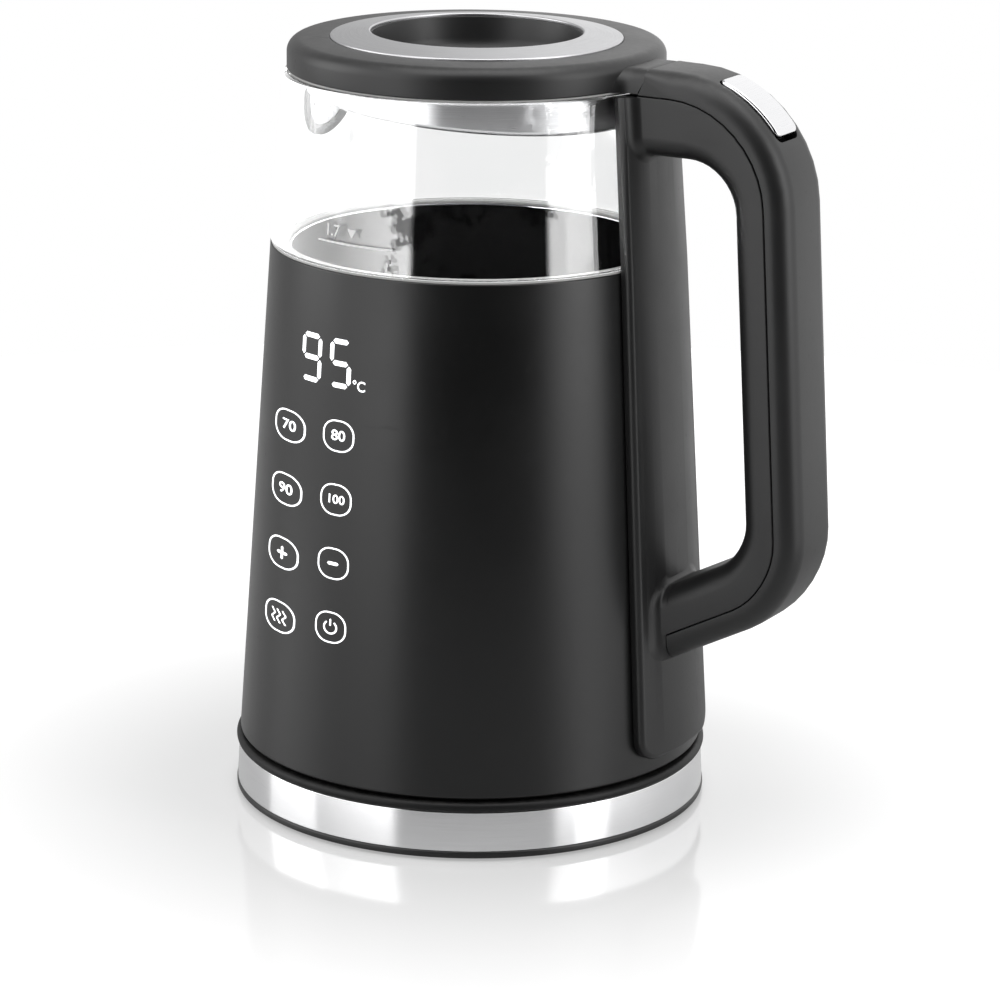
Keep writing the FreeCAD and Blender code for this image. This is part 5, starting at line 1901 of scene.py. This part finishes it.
@dataclass
class Studio:
    """Pale floor, white surround, soft lamps and the camera.

    Attributes:
        azimuth: Side that the camera looks from, in degrees.
        focal: Focal length in pixels of the square frame.
        floor_glow_with_painted_shade: Glow of the floor beside the jug and away from it; the lower glow
            beside the jug is a painted shade round its foot.
        painted_shade_fade: Distances that the painted shade fades out between, in metres.
        surround: Light of the surround on matt pieces.
        mirror_peak: Light of the brightest band that glossy pieces show.
        mirror_stops: Sides from the camera's, in degrees, with their share of that light.
        glass_boost: How much brighter the glass shows the bands.
    """

    distance: float = 1240.6
    height: float = 445.5
    azimuth: float = 30.0
    pitch: float = 15.831
    yaw: float = 0.403
    roll: float = 0.655
    focal: float = 4067.2
    frame_width: float = 1000.0
    sensor: float = 36.0
    clip: tuple[float, float] = (0.05, 50.0)
    floor_radius: float = 0.6
    floor_steps: int = 96
    floor_colour: float = 0.45
    floor_rough: float = 0.1
    floor_glow_with_painted_shade: tuple[float, float] = (0.36, 0.76)
    painted_shade_fade: tuple[float, float] = (0.065, 0.2)
    surround: float = 0.3
    mirror_peak: float = 2.8
    mirror_stops: tuple[tuple[float, float], ...] = (
        (-130.0, 0.2), (-85.0, 0.38), (-38.0, 1.0), (-35.0, 0.006), (41.0, 0.006), (44.0, 0.75),
        (105.0, 0.42))
    glass_boost: float = 4.4
    lamps: tuple[Lamp, ...] = (Lamp("left_box", -95.0, 0.5, 1.1, (0.7, 0.9), 4.5),
                               Lamp("right_box", 60.0, 0.5, 1.1, (0.35, 0.9), 2.4),
                               Lamp("over_box", 10.0, 1.4, 0.2, (1.4, 1.1), 9.0))

    def build_camera(self) -> None:
        """Sets the camera at the photograph's viewing angle."""
        pitch, yaw, roll = (math.radians(value) for value in (self.pitch, self.yaw, self.roll))
        ahead = Vector((math.sin(yaw) * math.cos(pitch), math.cos(yaw) * math.cos(pitch), -math.sin(pitch)))
        right = Vector((math.cos(yaw), -math.sin(yaw), 0.0))
        above = right.cross(ahead)
        side = right * math.cos(roll) + above * math.sin(roll)
        over = above * math.cos(roll) - right * math.sin(roll)
        turn_to = Matrix.Rotation(math.radians(self.azimuth), 3, "Z")
        axes = Matrix((turn_to @ side, turn_to @ over, turn_to @ -ahead)).transposed()
        data = bpy.data.cameras.new("camera")
        data.sensor_width = self.sensor
        data.lens = self.focal * self.sensor / self.frame_width
        data.clip_start, data.clip_end = self.clip
        camera = linked("camera", data)
        spot = turn_to @ Vector((0.0, -self.distance, self.height)) * MM
        camera.matrix_world = Matrix.Translation(spot) @ axes.to_4x4()
        bpy.context.scene.camera = camera

    def build_floor(self) -> None:
        """Lays a pale glossy floor that keeps the shadow, its glow dimmed near the jug as painted shade."""
        bm = bmesh.new()
        bmesh.ops.create_circle(bm, cap_ends=True, segments=self.floor_steps, radius=self.floor_radius)
        floor = shown(bm, "floor")
        made = bpy.data.materials.new("pale_floor")
        made.use_nodes = True
        graph = Graph(made.node_tree)
        away = graph.vector("LENGTH", graph.place())
        # painted shade: the floor glows less near the jug's foot than away from it
        lift = graph.remap(away, *self.painted_shade_fade, *self.floor_glow_with_painted_shade)
        seen = graph.seen(graph.add("ShaderNodeLightPath"))
        graph.feed(made.node_tree.nodes["Principled BSDF"],
                   {"Base Color": (*[self.floor_colour] * 3, 1.0), "Roughness": self.floor_rough,
                    "Emission Color": (1, 1, 1, 1), "Emission Strength": graph.math("MULTIPLY", seen, lift)})
        floor.data.materials.append(made)

    def mirror_bands(self, graph: Graph) -> Socket:
        """Gives the light of the bands that glossy pieces show, by the side that a ray goes to."""
        side = math.radians(self.azimuth)
        view = graph.add("ShaderNodeTexCoord").outputs["Generated"]
        across = graph.vector("DOT_PRODUCT", view, (math.cos(side), math.sin(side), 0.0))
        toward = graph.vector("DOT_PRODUCT", view, (math.sin(side), -math.cos(side), 0.0))
        turned = graph.mask(graph.math("ARCTAN2", across, toward), -math.pi, math.pi)
        ramp = graph.add("ShaderNodeValToRGB", {"Fac": turned})
        stops = ramp.color_ramp.elements
        while len(stops) < len(self.mirror_stops):
            stops.new(1.0)
        for stop, (degrees, share) in zip(stops, self.mirror_stops):
            stop.position = 0.5 + degrees / 360.0
            stop.color = (share, share, share, 1.0)
        return graph.math("MULTIPLY", ramp.outputs["Color"], self.mirror_peak)

    def build_surround(self) -> None:
        """Sets a white surround, which glossy pieces show as two bright bands beside a dark middle."""
        world = bpy.data.worlds.new("surround")
        bpy.context.scene.world = world
        world.use_nodes = True
        graph = Graph(world.node_tree)
        path = graph.add("ShaderNodeLightPath")
        plain = graph.math("MAXIMUM", graph.seen(path), self.surround)
        mirrored = graph.math("MINIMUM", path.outputs["Glossy Depth"], 1.0)
        boost = graph.span(path.outputs["Is Singular Ray"], 1.0, self.glass_boost)
        bands = graph.math("MULTIPLY", self.mirror_bands(graph), boost)
        strength = graph.add("ShaderNodeMix", {0: mirrored, 2: plain, 3: bands}, data_type="FLOAT")
        graph.feed(world.node_tree.nodes["Background"],
                   {"Color": (1, 1, 1, 1), "Strength": strength.outputs[0]})

    def build(self) -> None:
        """Sets up the whole studio."""
        bpy.context.scene.view_settings.view_transform = "Standard"
        self.build_camera()
        self.build_floor()
        self.build_surround()
        for lamp in self.lamps:
            lamp.hang(self.azimuth)


def main() -> None:
    """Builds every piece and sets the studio."""
    logging.basicConfig(level=logging.INFO, format="%(message)s")
    jug = Jug()
    handle = Handle(jug)
    for assembly in (PowerBase(), jug, Panel(jug), handle, Lid(handle), Studio()):
        assembly.build()
        log.info("%s: done", type(assembly).__name__)


if __name__ == "__main__":
    main()
